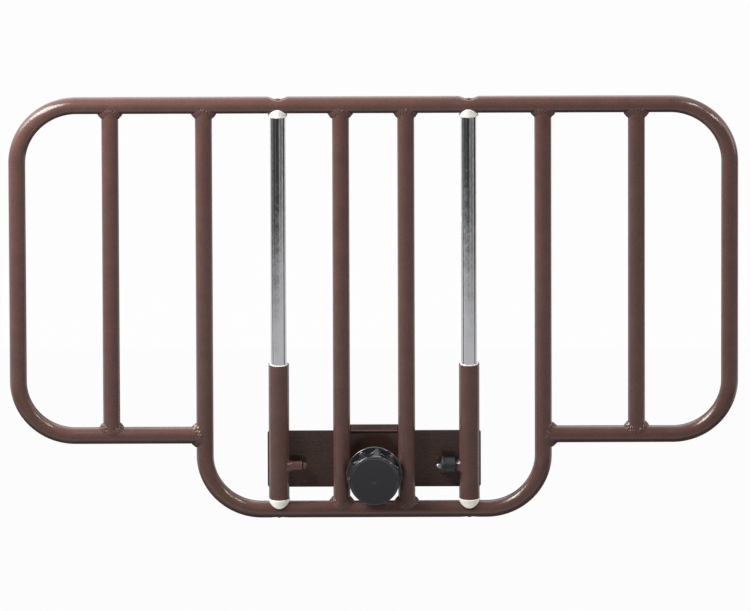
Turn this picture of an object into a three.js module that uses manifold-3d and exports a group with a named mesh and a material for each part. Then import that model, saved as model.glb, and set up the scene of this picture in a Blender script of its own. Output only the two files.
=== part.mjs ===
// Bed guard rail: a welded tube guard that drops on two chromed posts, and the clamp that holds it to a bed.
// Millimetres, +Z up. Seen from the room, +X is to the right and +Y goes away, towards the bed.
// The origin is on the clamp screw's axis, at the rear face of the crossplate.

import * as THREE from 'three';
import { mergeVertices } from 'three/addons/utils/BufferGeometryUtils.js';
import Module from 'manifold-3d';

const wasm = await Module();
wasm.setup();

// Guard: bent and welded tubes
const guardLength = 914;
const guardHeight = 549.8;
const tubeDiameter = 21.3;
const tubeWall = 1.5;
const topBendRadius = 75;
const lowerBendRadius = 71.5;
const wingRailRise = 97.5;
const wingBarInset = 116.85;
const centreBarSpread = 81.6;

// Weld beads where one tube stands on another
const beadRadius = 2.4;
const beadStandOff = 0.9;
const beadSaddleRise = 4.2;

// Posts, their plugs and screws, and the pressed dimples that the screw heads sit in
const postSpread = 239;
const postDiameter = 19.3;
const postWall = 1.5;
const plugLength = 20;
const screwDiameter = 6;
const screwHeadDiameter = 9;
const screwHeadHeight = 1.2;
const screwGrip = 14;
const dimpleWidth = 22;
const topDimpleDepth = 4.5;
const bottomDimpleDepth = 1.6;

// Bumpers: nylon saddles between the posts and the rails
const topBumperDiameter = 24.4;
const bottomBumperDiameter = 27.2;
const bumperHeight = 14.6;
const bumperLegEnd = 3.8;
const bumperRim = 2.2;
const bumperBendGap = 7.8;

// Sleeves and the bushes in their mouths
const sleeveDiameter = 25.6;
const sleeveWall = 1.2;
const sleeveLength = 175.4;
const bushLength = 22;
const bushRecess = 1.5;

// Crossplate, and the stitch welds that hold it to the sleeves
const plateMargin = 1.7;
const plateHeight = 73.6;
const plateThickness = 3;
const plateRise = 25;
const plateCornerRadius = 3;
const stitchLength = 16;
const stitchRadius = 2.6;
const stitchOffset = 7.6;
const stitchSink = 1.4;
const stitchEndMargin = 16;

// Bosses on the sleeves, the guide screw on the left and the latch on the right
const bossRise = 56.5;
const bossDiameter = 13;
const bossReach = 28.8;
const bossBoreDiameter = 9.4;
const bossEndWall = 2.3;
const bossFlareLength = 5.3;
const bossFlareWidth = 3.6;
const guideShankDiameter = 5;
const guideHeadDiameter = 9.5;
const guideHeadHeight = 4.4;
const guideNeckLength = 1.5;
const guidePadLength = 8;
const pinNoseDiameter = 6;
const pinCollarDiameter = 8.6;
const pinCollarLength = 1.5;
const pinTailDiameter = 4;
const springWireDiameter = 0.7;
const springTurns = 5;
const pullCupDiameter = 22.4;
const pullCupStart = 18;
const pullFlangeDiameter = 25.6;
const pullFlangeLength = 3.2;
const pullEndWall = 5.7;
const nutWidth = 7;
const nutLength = 7;

// Clamp: the knob in front of the bars, its screw, and the jaw behind the crossplate
const clampRise = 50.2;
const knobDiameter = 70.8;
const knobFlangeThickness = 4.6;
const knobBodyRearDiameter = 67;
const knobBodyFrontDiameter = 63;
const knobBodyLength = 31.6;
const knobEdge = 1;
const knobBarClearance = 0.9;
const fluteCount = 10;
const fluteRadius = 9;
const fluteRearDepth = 5;
const fluteFrontDepth = 0.5;
const knobRestAngle = Math.PI / 15;
const pocketCount = 5;
const pocketDepth = 22;
const pocketWall = 4;
const pocketRib = 3;
const knobHubDiameter = 26;
const knobCapThickness = 3.2;
const knobCapEdge = 1.3;
const knobCapSpigotHeight = 1.4;
const knobCapSpigotDiameter = 50;
const clampScrewDiameter = 10;
const clampHeadWidth = 16;
const clampHeadHeight = 6.4;
const spacerDiameter = 20;
const washerDiameter = 26;
const washerThickness = 2;
const throat = 26;
const jawTravel = 18;
const jawWidth = 74;
const jawThickness = 3;
const jawBendRadius = 2;
const jawCornerRadius = 10;
const tongueBarClearance = 1.4;
const jawNutWidth = 17;
const jawNutHeight = 8;
const screwTail = 4;

// Clearances: the gap that pieces seat with, and how far a cut runs past what it cuts
const seatGap = 0.3;
const overrun = 1;

// How finely round forms are faceted
const tubeSides = 16;
const boreSides = 8;
const smallSides = 12;
const knobSides = 32;
const hexSides = 6;
const bendSteps = 6;
const beadSides = 6;
const beadSteps = 12;
const springSteps = 7;
const arcSteps = 3;
const capSteps = 2;

// Places worked out from the sizes above
const tubeRadius = tubeDiameter / 2;
const postRadius = postDiameter / 2;
const sleeveRadius = sleeveDiameter / 2;
const sideX = guardLength / 2 - tubeRadius;
const centreWidth = postSpread + 2 * (lowerBendRadius + bottomBumperDiameter / 2 + bumperBendGap);
const plateLength = postSpread + sleeveDiameter + 2 * plateMargin;
const topRailRise = guardHeight - tubeDiameter;
const guardY = -plateThickness - seatGap - sleeveRadius;
const guardZ = -clampRise;
const sleeveStart = bumperHeight + seatGap;
const sleeveEnd = sleeveStart + sleeveLength;
const guardTravel = topRailRise - bumperHeight - seatGap - sleeveEnd;
const quarterTurn = Math.PI / 2;

// Finishes
const powderCoat = finish('#5a423b', 0.38, 0.3);
const plateCoat = finish('#3a2c28', 0.35, 0.3);
const chrome = finish('#d8dadc', 0.08, 1);
const nylon = finish('#ecebe0', 0.45, 0);
const blackPlastic = finish('#303236', 0.5, 0);
const zincSteel = finish('#b9bcc0', 0.35, 1);

function finish(colour, roughness, metalness) {
  return new THREE.MeshStandardMaterial({ color: colour, roughness, metalness, flatShading: true });
}

// A closed mesh as a solid that can be joined and cut. Faces that close up on an axis are left out.
function toSolid(geometry) {
  geometry.deleteAttribute('normal');
  geometry.deleteAttribute('uv');
  const merged = mergeVertices(geometry);
  const corners = merged.index.array;
  const triVerts = [];
  for (let i = 0; i < corners.length; i += 3) {
    const [a, b, c] = corners.slice(i, i + 3);
    if (a !== b && b !== c && c !== a) {
      triVerts.push(a, b, c);
    }
  }
  const vertProperties = merged.attributes.position.array;
  const mesh = new wasm.Mesh({ numProp: 3, vertProperties, triVerts: new Uint32Array(triVerts) });
  return new wasm.Manifold(mesh);
}

function toGeometry(solid) {
  const mesh = solid.getMesh();
  const geometry = new THREE.BufferGeometry();
  geometry.setAttribute('position', new THREE.BufferAttribute(mesh.vertProperties, mesh.numProp));
  geometry.setIndex(new THREE.BufferAttribute(mesh.triVerts, 1));
  geometry.computeVertexNormals();
  return geometry;
}

// The first geometry with all the others joined to it
function join(first, ...others) {
  let solid = toSolid(first);
  for (const other of others) {
    solid = solid.add(toSolid(other));
  }
  return toGeometry(solid);
}

// The first geometry with all the others cut out of it
function cut(first, ...others) {
  let solid = toSolid(first);
  for (const other of others) {
    solid = solid.subtract(toSolid(other));
  }
  return toGeometry(solid);
}

function common(first, second) {
  return toGeometry(toSolid(first).intersect(toSolid(second)));
}

// A profile of [radius, height] points turned about Z, up its outside and down its bore
function turned(profile, sides) {
  const points = profile.map(([radius, height]) => new THREE.Vector2(radius, height));
  return new THREE.LatheGeometry(points, sides).rotateX(quarterTurn);
}

// A round bar along Z from one height to another
function rod(radius, from, to, sides) {
  const bar = new THREE.CylinderGeometry(radius, radius, to - from, sides);
  return bar.rotateX(quarterTurn).translate(0, 0, (from + to) / 2);
}

// A straight tube along Z
function pipe(outer, inner, from, to, sides) {
  const wall = [[inner, from], [outer, from], [outer, to], [inner, to], [inner, from]];
  return turned(wall, sides);
}

// A radius whose facets all stay clear of a round piece of the given radius
function clearOf(radius, sides) {
  return (radius + seatGap) / Math.cos(Math.PI / sides);
}

function box(fromX, toX, fromY, toY, fromZ, toZ) {
  const block = new THREE.BoxGeometry(toX - fromX, toY - fromY, toZ - fromZ);
  return block.translate((fromX + toX) / 2, (fromY + toY) / 2, (fromZ + toZ) / 2);
}

// The centre line of a tube bent in the XZ plane: straight runs, and at each corner an arc.
// Its stations fall on the ends of the runs and along the arcs, and nowhere else.
class BentLine extends THREE.Curve {
  constructor(corners, extension) {
    super();
    const points = corners.map(({ x, z }) => new THREE.Vector3(x, 0, z));
    const along = points.slice(1).map((point, i) => point.clone().sub(points[i]).normalize());
    const last = points.length - 1;
    const start = points[0].clone().addScaledVector(along[0], -extension);
    const end = points[last].clone().addScaledVector(along[last - 1], extension);
    this.stations = [{ point: start, tangent: along[0] }];
    for (let i = 1; i < last; i += 1) {
      this.addBend(points[i], along[i - 1], along[i], corners[i].bend);
    }
    this.stations.push({ point: end, tangent: along[last - 1] });
  }

  addBend(corner, into, out, bendRadius) {
    const turn = into.angleTo(out);
    const start = corner.clone().addScaledVector(into, -bendRadius * Math.tan(turn / 2));
    const inward = out.clone().addScaledVector(into, -out.dot(into)).normalize();
    for (let step = 0; step <= bendSteps; step += 1) {
      const angle = turn * step / bendSteps;
      const point = start.clone().addScaledVector(into, bendRadius * Math.sin(angle));
      point.addScaledVector(inward, bendRadius * (1 - Math.cos(angle)));
      const tangent = into.clone().multiplyScalar(Math.cos(angle));
      tangent.addScaledVector(inward, Math.sin(angle));
      this.stations.push({ point, tangent });
    }
  }

  get steps() {
    return this.stations.length - 1;
  }

  getUtoTmapping(u) {
    return u;
  }

  between(t, key, target) {
    const place = t * this.steps;
    const from = Math.min(Math.floor(place), this.steps - 1);
    return target.lerpVectors(this.stations[from][key], this.stations[from + 1][key], place - from);
  }

  getPoint(t, target = new THREE.Vector3()) {
    return this.between(t, 'point', target);
  }

  getTangent(t, target = new THREE.Vector3()) {
    return this.between(t, 'tangent', target).normalize();
  }
}

function swept(radius, sides, path, steps) {
  const section = new THREE.Shape();
  section.absarc(0, 0, radius, 0, 2 * Math.PI);
  return new THREE.ExtrudeGeometry(section, { steps, extrudePath: path, curveSegments: sides / 2 });
}

// The bead round a tube that stands along +Z on a run tube along X: a ring lifted into a saddle that
// follows the run tube, and kept smooth at its lowest points
function weldBead() {
  const ringRadius = tubeRadius + beadStandOff;
  const bead = new THREE.TorusGeometry(ringRadius, beadRadius, beadSides, beadSteps);
  const places = bead.attributes.position;
  for (let i = 0; i < places.count; i += 1) {
    const x = places.getX(i);
    const across = ringRadius * x / Math.hypot(x, places.getY(i));
    places.setZ(i, places.getZ(i) + Math.hypot(across, beadSaddleRise));
  }
  return bead;
}

// A tube end welded to a run tube: the bead goes on, and the run tube's own shape is cut away.
// The joint's matrix takes +Z to the way the tube leaves, and X to the run tube's axis.
function weldedTo(tube, joint) {
  const reach = tubeDiameter + beadRadius;
  const run = rod(clearOf(tubeRadius, tubeSides), -reach, reach, tubeSides).rotateY(quarterTurn);
  return cut(join(tube, weldBead().applyMatrix4(joint)), run.applyMatrix4(joint));
}

function jointAt(x, z, turnX, turnY) {
  const turn = new THREE.Euler(turnX, turnY, 0);
  return new THREE.Matrix4().makeRotationFromEuler(turn).setPosition(x, 0, z);
}

// The radius of the round that gives a dimple its width and depth
function dimpleRound(depth) {
  return (dimpleWidth * dimpleWidth / 4 + depth * depth) / (2 * depth);
}

// The dimple's cutter lies across a rail. Grown by the tube's wall, it shapes the dimple's inside too.
function dimpleCutter(x, railZ, side, depth, growth) {
  const round = dimpleRound(depth);
  const centreZ = railZ + side * (tubeRadius - depth + round);
  const cutter = rod(round + growth, -tubeDiameter, tubeDiameter, knobSides);
  return cutter.rotateX(quarterTurn).translate(x, 0, centreZ);
}

// A hollow bent tube, with a dimple and a screw hole at each post
function postedTube(corners, railZ, side, dimpleDepth) {
  const postXs = [-postSpread / 2, postSpread / 2];
  const outerLine = new BentLine(corners, 0);
  const boreLine = new BentLine(corners, overrun);
  const outside = swept(tubeRadius, tubeSides, outerLine, outerLine.steps);
  const inside = swept(tubeRadius - tubeWall, boreSides, boreLine, boreLine.steps);
  const pressed = postXs.map((x) => dimpleCutter(x, railZ, side, dimpleDepth, 0));
  const backed = postXs.map((x) => dimpleCutter(x, railZ, side, dimpleDepth, tubeWall));
  const holes = postXs.map((x) => screwHole(-tubeDiameter, tubeDiameter).translate(x, 0, railZ));
  return cut(cut(outside, ...pressed), cut(inside, ...backed), ...holes);
}

function screwHole(from, to) {
  return rod(clearOf(screwDiameter / 2, smallSides), from, to, smallSides);
}

function outerFrameTube() {
  const corners = [
    { x: -centreWidth / 2, z: wingRailRise },
    { x: -sideX, z: wingRailRise, bend: lowerBendRadius },
    { x: -sideX, z: topRailRise, bend: topBendRadius },
    { x: sideX, z: topRailRise, bend: topBendRadius },
    { x: sideX, z: wingRailRise, bend: lowerBendRadius },
    { x: centreWidth / 2, z: wingRailRise },
  ];
  let tube = postedTube(corners, topRailRise, 1, topDimpleDepth);
  for (const side of [-1, 1]) {
    tube = weldedTo(tube, jointAt(side * centreWidth / 2, wingRailRise, 0, side * quarterTurn));
  }
  return tube;
}

function centreUTube() {
  const corners = [
    { x: -centreWidth / 2, z: topRailRise },
    { x: -centreWidth / 2, z: 0, bend: lowerBendRadius },
    { x: centreWidth / 2, z: 0, bend: lowerBendRadius },
    { x: centreWidth / 2, z: topRailRise },
  ];
  let tube = postedTube(corners, 0, -1, bottomDimpleDepth);
  for (const side of [-1, 1]) {
    tube = weldedTo(tube, jointAt(side * centreWidth / 2, topRailRise, Math.PI, 0));
  }
  return tube;
}

// An upright bar between the centre lines of two rails, with its foot at the origin
function uprightBar(length) {
  const outside = rod(tubeRadius, 0, length, tubeSides);
  const inside = rod(tubeRadius - tubeWall, -overrun, length + overrun, boreSides);
  const foot = weldedTo(cut(outside, inside), jointAt(0, 0, 0, 0));
  return weldedTo(foot, jointAt(0, length, Math.PI, 0));
}

// A post from bumper to bumper. The latched one has two holes for the pin: one for the guard raised, and one
// for it lowered.
function post(latched) {
  const tube = pipe(postRadius, postRadius - postWall, sleeveStart, topRailRise - sleeveStart, tubeSides);
  if (!latched) {
    return toGeometry(toSolid(tube));
  }
  const holeRadius = clearOf(pinNoseDiameter / 2, smallSides);
  const holes = [bossRise, bossRise + guardTravel].map((height) => {
    return rod(holeRadius, 0, postDiameter, smallSides).rotateY(-quarterTurn).translate(0, 0, height);
  });
  return cut(tube, ...holes);
}

// A threaded plug in a post's end, from its outer face upwards
function postPlug() {
  const radius = postRadius - postWall - seatGap;
  return cut(rod(radius, 0, plugLength, tubeSides), screwHole(-overrun, plugLength + overrun));
}

// A bumper stands on a rail along X at the origin. Its flat end faces the sleeve, and two rounded legs hug
// the rail.
function bumper(diameter) {
  const radius = diameter / 2;
  const rimZ = bumperHeight - bumperRim;
  const tongue = new THREE.Shape();
  tongue.moveTo(-radius - overrun, bumperHeight + overrun);
  tongue.lineTo(-radius - overrun, rimZ);
  tongue.lineTo(-radius, rimZ);
  tongue.quadraticCurveTo(0, 2 * bumperLegEnd - rimZ, radius, rimZ);
  tongue.lineTo(radius + overrun, rimZ);
  tongue.lineTo(radius + overrun, bumperHeight + overrun);
  const depth = diameter + 2 * overrun;
  const options = { depth, bevelEnabled: false, curveSegments: smallSides };
  const outline = new THREE.ExtrudeGeometry(tongue, options);
  outline.rotateX(quarterTurn).translate(0, depth / 2, 0);
  const drum = rod(radius, 0, bumperHeight, tubeSides);
  const rail = rod(clearOf(tubeRadius, tubeSides), -diameter, diameter, tubeSides);
  return cut(common(drum, outline), rail.rotateY(quarterTurn), screwHole(0, bumperHeight + overrun));
}

// A pan-head screw whose head sits on the sides of a dimple, and whose shank reaches into the plug
function postScrew(dimpleDepth) {
  const shank = screwDiameter / 2;
  const head = screwHeadDiameter / 2;
  const round = dimpleRound(dimpleDepth);
  const rise = round - Math.sqrt(round * round - head * head);
  const headZ = tubeRadius - dimpleDepth + rise + seatGap;
  const tipZ = -bumperHeight - seatGap - screwGrip;
  const crown = headZ + screwHeadHeight;
  const profile = [[0, tipZ], [shank, tipZ], [shank, headZ], [head, headZ]];
  for (let step = 1; step <= arcSteps; step += 1) {
    const angle = quarterTurn * step / arcSteps;
    profile.push([head * Math.cos(angle), headZ + (crown - headZ) * Math.sin(angle)]);
  }
  return toGeometry(toSolid(turned(profile, smallSides)));
}

// A sleeve round its post, with the pin's hole towards the clamp and stitch welds towards the crossplate
function sleeve(inward) {
  const tube = pipe(sleeveRadius, sleeveRadius - sleeveWall, sleeveStart, sleeveEnd, tubeSides);
  const holeRadius = clearOf(pinNoseDiameter / 2, smallSides);
  const hole = rod(holeRadius, 0, sleeveDiameter, smallSides).rotateY(inward * quarterTurn);
  const stitches = [];
  const lowZ = plateRise + stitchEndMargin;
  const highZ = plateRise + plateHeight - stitchEndMargin;
  for (const x of [-stitchOffset, stitchOffset]) {
    for (const z of [lowZ, highZ]) {
      const stitch = new THREE.CapsuleGeometry(stitchRadius, stitchLength, capSteps, beadSides);
      stitches.push(stitch.rotateX(quarterTurn).translate(x, sleeveRadius - stitchSink, z));
    }
  }
  const plate = box(-sleeveDiameter, sleeveDiameter, sleeveRadius + seatGap, sleeveDiameter, 0, sleeveEnd);
  const bore = rod(sleeveRadius - sleeveWall, sleeveStart, sleeveEnd, tubeSides);
  return cut(join(tube, ...stitches), plate, bore, hole.translate(0, 0, bossRise));
}

function bush() {
  const outer = sleeveRadius - sleeveWall - seatGap;
  const inner = clearOf(postRadius, tubeSides);
  return toGeometry(toSolid(pipe(outer, inner, 0, bushLength, tubeSides)));
}

// The crossplate lies in the XZ plane. The notch in its top edge guides the jaw's tongue.
function crossplate() {
  const halfLength = plateLength / 2;
  const low = plateRise - clampRise;
  const high = low + plateHeight;
  const notchHalf = tongueHalfWidth() + seatGap;
  const notchZ = high - jawThickness - seatGap;
  const r = plateCornerRadius;
  const outline = new THREE.Shape();
  outline.moveTo(-halfLength + r, low);
  outline.lineTo(halfLength - r, low);
  outline.absarc(halfLength - r, low + r, r, -quarterTurn, 0);
  outline.lineTo(halfLength, high - r);
  outline.absarc(halfLength - r, high - r, r, 0, quarterTurn);
  outline.lineTo(notchHalf, high);
  outline.lineTo(notchHalf, notchZ);
  outline.lineTo(-notchHalf, notchZ);
  outline.lineTo(-notchHalf, high);
  outline.lineTo(-halfLength + r, high);
  outline.absarc(-halfLength + r, high - r, r, quarterTurn, Math.PI);
  outline.lineTo(-halfLength, low + r);
  outline.absarc(-halfLength + r, low + r, r, Math.PI, 3 * quarterTurn);
  const bore = new THREE.Path();
  bore.absarc(0, 0, clearOf(clampScrewDiameter / 2, tubeSides), 0, 2 * Math.PI, true);
  outline.holes.push(bore);
  const options = { depth: plateThickness, bevelEnabled: false, curveSegments: tubeSides / 2 };
  return toGeometry(toSolid(new THREE.ExtrudeGeometry(outline, options).rotateX(quarterTurn)));
}

function tongueHalfWidth() {
  return centreBarSpread / 2 - tubeRadius - tongueBarClearance;
}

// A boss along +Z from a sleeve whose axis is Y at the origin. Its weld flares out on to the sleeve.
function boss() {
  const radius = bossDiameter / 2;
  const bore = bossBoreDiameter / 2;
  const tail = clearOf(guideShankDiameter / 2, smallSides);
  const endZ = bossReach - bossEndWall;
  const flareZ = sleeveRadius + bossFlareLength;
  const profile = [[bore, 0], [radius + bossFlareWidth, 0]];
  for (let step = 0; step <= arcSteps; step += 1) {
    const angle = quarterTurn * step / arcSteps;
    const out = radius + bossFlareWidth * (1 - Math.sin(angle));
    profile.push([out, flareZ - bossFlareLength * Math.cos(angle)]);
  }
  profile.push([radius, bossReach], [tail, bossReach], [tail, endZ], [bore, endZ], [bore, 0]);
  const sleeveShape = rod(clearOf(sleeveRadius, tubeSides), -sleeveDiameter, sleeveDiameter, tubeSides);
  return cut(turned(profile, tubeSides), sleeveShape.rotateY(quarterTurn));
}

// The guide screw's domed head stands off the boss, and its shank reaches the pad
function guideScrew() {
  const shank = guideShankDiameter / 2;
  const head = guideHeadDiameter / 2;
  const padEnd = postRadius + seatGap + guidePadLength + seatGap;
  const headZ = bossReach + guideNeckLength;
  const profile = [[0, padEnd], [shank, padEnd], [shank, headZ], [head, headZ]];
  const straight = guideHeadHeight / 2;
  for (let step = 0; step <= arcSteps; step += 1) {
    const angle = quarterTurn * step / arcSteps;
    profile.push([head * Math.cos(angle), headZ + straight + straight * Math.sin(angle)]);
  }
  return toGeometry(toSolid(turned(profile, smallSides)));
}

// A nylon pad between the guide screw and the post, small enough for the sleeve's hole
function guidePad() {
  const start = postRadius + seatGap;
  return toGeometry(toSolid(rod(pinNoseDiameter / 2, start, start + guidePadLength, smallSides)));
}

function pinCollarStart() {
  return sleeveRadius + 2 * seatGap;
}

// The latch pin: nose, collar that the spring pushes on, and tail through the boss's end to the nut
function latchPin() {
  const nose = pinNoseDiameter / 2;
  const collar = pinCollarDiameter / 2;
  const tail = pinTailDiameter / 2;
  const tipZ = postRadius + seatGap;
  const tipEdge = tipZ + nose / 2;
  const collarZ = pinCollarStart();
  const backZ = collarZ + pinCollarLength;
  const endZ = pullEnd() + seatGap + nutLength / 2;
  const profile = [[0, tipZ], [nose / 2, tipZ], [nose, tipEdge], [nose, collarZ], [collar, collarZ]];
  profile.push([collar, backZ], [tail, backZ], [tail, endZ], [0, endZ]);
  return cut(turned(profile, smallSides), postShape());
}

// The post's own shape across the latch, which the pin's nose keeps clear of
function postShape() {
  const shape = rod(clearOf(postRadius, tubeSides), -postDiameter, postDiameter, tubeSides);
  return shape.rotateX(quarterTurn);
}

function pullEnd() {
  return bossReach + seatGap + pullEndWall;
}

// The pull knob: a cup over the boss, with a wider flange at its outer end
function pullKnob() {
  const cup = pullCupDiameter / 2;
  const flange = pullFlangeDiameter / 2;
  const bore = clearOf(bossDiameter / 2, tubeSides);
  const tail = clearOf(pinTailDiameter / 2, smallSides);
  const seatZ = bossReach + seatGap;
  const end = pullEnd();
  const flangeZ = end - pullFlangeLength;
  const edge = pullFlangeLength / 4;
  const profile = [[bore, pullCupStart], [cup, pullCupStart], [cup, flangeZ], [flange - edge, flangeZ]];
  profile.push([flange, flangeZ + edge], [flange, end - edge], [flange - edge, end], [tail, end]);
  profile.push([tail, seatZ], [bore, seatZ], [bore, pullCupStart]);
  return toGeometry(toSolid(turned(profile, tubeSides)));
}

// A hexagonal dome nut on the pin's tail
function latchNut() {
  const start = pullEnd() + seatGap;
  const corner = nutWidth / 2 / Math.cos(Math.PI / hexSides);
  const hexEnd = start + nutLength / 2;
  const dome = nutWidth / 2;
  const domeEnd = start + nutLength;
  const profile = [[0, start], [dome, start]];
  for (let step = 0; step <= arcSteps; step += 1) {
    const angle = quarterTurn * step / arcSteps;
    profile.push([dome * Math.cos(angle), hexEnd + (domeEnd - hexEnd) * Math.sin(angle)]);
  }
  const hole = rod(clearOf(pinTailDiameter / 2, smallSides), start - overrun, hexEnd + seatGap, smallSides);
  return cut(join(turned(profile, smallSides), rod(corner, start, hexEnd, hexSides)), hole);
}

// The latch spring's wire: an even helix about Z
class SpringLine extends THREE.Curve {
  constructor(radius, fromZ, toZ) {
    super();
    this.radius = radius;
    this.fromZ = fromZ;
    this.toZ = toZ;
  }

  getPoint(t, target = new THREE.Vector3()) {
    const angle = 2 * Math.PI * springTurns * t;
    const z = THREE.MathUtils.lerp(this.fromZ, this.toZ, t);
    return target.set(this.radius * Math.cos(angle), this.radius * Math.sin(angle), z);
  }
}

function latchSpring() {
  const wire = springWireDiameter / 2;
  const coil = (bossBoreDiameter / 2 + pinTailDiameter / 2) / 2;
  const from = pinCollarStart() + pinCollarLength + seatGap + wire;
  const to = bossReach - bossEndWall - seatGap - wire;
  const line = new SpringLine(coil, from, to);
  return toGeometry(toSolid(swept(wire, beadSides, line, springTurns * springSteps)));
}

// Distances along the clamp's axis, from the crossplate's rear face towards the room
function clampStack() {
  const washerStart = plateThickness + seatGap;
  const spacerStart = washerStart + washerThickness + seatGap;
  const knobStart = -guardY + tubeRadius + knobBarClearance;
  const capStart = knobStart + knobBodyLength + seatGap;
  return { washerStart, spacerStart, knobStart, capStart };
}

function hexPrism(width, from, to) {
  return rod(width / 2 / Math.cos(Math.PI / hexSides), from, to, hexSides);
}

// One pocket of the knob's cored-out back, between two ribs
function knobPocket(turn) {
  const inner = knobHubDiameter / 2;
  const outer = knobBodyRearDiameter / 2 - fluteRearDepth - pocketWall;
  const half = Math.PI / pocketCount;
  const innerHalf = half - Math.asin(pocketRib / 2 / inner);
  const outerHalf = half - Math.asin(pocketRib / 2 / outer);
  const sector = new THREE.Shape();
  sector.absarc(0, 0, outer, turn - outerHalf, turn + outerHalf);
  sector.absarc(0, 0, inner, turn + innerHalf, turn - innerHalf, true);
  const depth = pocketDepth + overrun;
  const options = { depth, bevelEnabled: false, curveSegments: arcSteps };
  return new THREE.ExtrudeGeometry(sector, options).translate(0, 0, -overrun);
}

// One flute of the knob's grip: deep beside the flange and running out at the front
function knobFlute(turn) {
  const rear = knobBodyRearDiameter / 2 - fluteRearDepth + fluteRadius;
  const front = knobBodyFrontDiameter / 2 - fluteFrontDepth + fluteRadius;
  const run = knobBodyLength - knobFlangeThickness;
  const tilt = Math.atan2(front - rear, run);
  const flute = rod(fluteRadius, 0, Math.hypot(run, front - rear) + fluteRadius, smallSides);
  return flute.rotateY(tilt).translate(rear, 0, knobFlangeThickness).rotateZ(turn);
}

// The knob's body stands on its rear face. Its grip is fluted, its back is cored out, and a hexagonal
// pocket under the cap holds the screw's head.
function knobBody() {
  const flange = knobDiameter / 2;
  const profile = [[0, 0], [flange - knobEdge, 0], [flange, knobEdge]];
  profile.push([flange, knobFlangeThickness - knobEdge], [flange - knobEdge, knobFlangeThickness]);
  profile.push([knobBodyRearDiameter / 2, knobFlangeThickness], [knobBodyFrontDiameter / 2, knobBodyLength]);
  profile.push([0, knobBodyLength]);
  const cuts = [];
  for (let i = 0; i < fluteCount; i += 1) {
    cuts.push(knobFlute((i + 0.5) * 2 * Math.PI / fluteCount));
  }
  for (let i = 0; i < pocketCount; i += 1) {
    cuts.push(knobPocket(i * 2 * Math.PI / pocketCount));
  }
  const recessZ = knobBodyLength - knobCapSpigotHeight - seatGap;
  const headZ = recessZ - clampHeadHeight - seatGap;
  const end = knobBodyLength + overrun;
  cuts.push(rod(clearOf(knobCapSpigotDiameter / 2, knobSides), recessZ, end, knobSides));
  cuts.push(hexPrism(clampHeadWidth + 2 * seatGap, headZ, end));
  cuts.push(rod(clearOf(clampScrewDiameter / 2, smallSides), -overrun, end, smallSides));
  return cut(turned(profile, knobSides), ...cuts);
}

// The cap covers the knob's front, with a spigot in the body's recess
function knobCap() {
  const radius = knobBodyFrontDiameter / 2;
  const spigot = knobCapSpigotDiameter / 2;
  const profile = [[0, -knobCapSpigotHeight], [spigot, -knobCapSpigotHeight], [spigot, 0], [radius, 0]];
  for (let step = 0; step <= arcSteps; step += 1) {
    const angle = quarterTurn * step / arcSteps;
    const out = radius - knobCapEdge + knobCapEdge * Math.cos(angle);
    profile.push([out, knobCapThickness - knobCapEdge + knobCapEdge * Math.sin(angle)]);
  }
  profile.push([0, knobCapThickness]);
  return toGeometry(toSolid(turned(profile, knobSides)));
}

function knobSpacer() {
  const { spacerStart, knobStart } = clampStack();
  const bore = clearOf(clampScrewDiameter / 2, tubeSides);
  return toGeometry(toSolid(pipe(spacerDiameter / 2, bore, spacerStart, knobStart - seatGap, tubeSides)));
}

function thrustWasher() {
  const { washerStart } = clampStack();
  const bore = clearOf(clampScrewDiameter / 2, tubeSides);
  const washerEnd = washerStart + washerThickness;
  return toGeometry(toSolid(pipe(washerDiameter / 2, bore, washerStart, washerEnd, tubeSides)));
}

// The clamp screw from its head in the knob to its tail behind the jaw's nut
function clampScrew() {
  const { knobStart } = clampStack();
  const headEnd = knobStart + knobBodyLength - knobCapSpigotHeight - 2 * seatGap;
  const headStart = headEnd - clampHeadHeight;
  const tail = -throat - jawThickness - seatGap - jawNutHeight - screwTail;
  const shank = rod(clampScrewDiameter / 2, tail, headEnd - clampHeadHeight / 2, smallSides);
  return join(shank, hexPrism(clampHeadWidth, headStart, headEnd));
}

// The jaw is one bent plate: a leg behind the bed's side rail, and a flange over it that ends in a tongue.
// Its outline is drawn in the YZ plane and carried along X.
function clampJaw() {
  const rear = throat + jawThickness;
  const top = plateRise + plateHeight - clampRise;
  const low = plateRise - clampRise;
  const inner = jawBendRadius;
  const outer = jawBendRadius + jawThickness;
  const side = new THREE.Shape();
  side.moveTo(-plateThickness, top - jawThickness);
  side.lineTo(throat - inner, top - jawThickness);
  side.absarc(throat - inner, top - outer, inner, quarterTurn, 0, true);
  side.lineTo(throat, low);
  side.lineTo(rear, low);
  side.lineTo(rear, top - outer);
  side.absarc(rear - outer, top - outer, outer, 0, quarterTurn);
  side.lineTo(-plateThickness, top);
  const options = { depth: jawWidth, bevelEnabled: false, curveSegments: arcSteps };
  const bent = new THREE.ExtrudeGeometry(side, options);
  bent.rotateY(quarterTurn).rotateX(quarterTurn).translate(-jawWidth / 2, 0, 0);
  const tongueEnd = jawTravel + seatGap;
  const shoulders = [-1, 1].map((hand) => {
    const edges = [hand * tongueHalfWidth(), hand * jawWidth].sort((a, b) => a - b);
    return box(...edges, -plateThickness - overrun, tongueEnd, top - jawThickness - overrun, top + overrun);
  });
  const corners = [-1, 1].map((hand) => jawCorner(hand, low));
  const screw = rod(clearOf(clampScrewDiameter / 2, smallSides), -rear - overrun, 0, smallSides);
  return cut(bent, ...shoulders, ...corners, screw.rotateX(quarterTurn));
}

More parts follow.
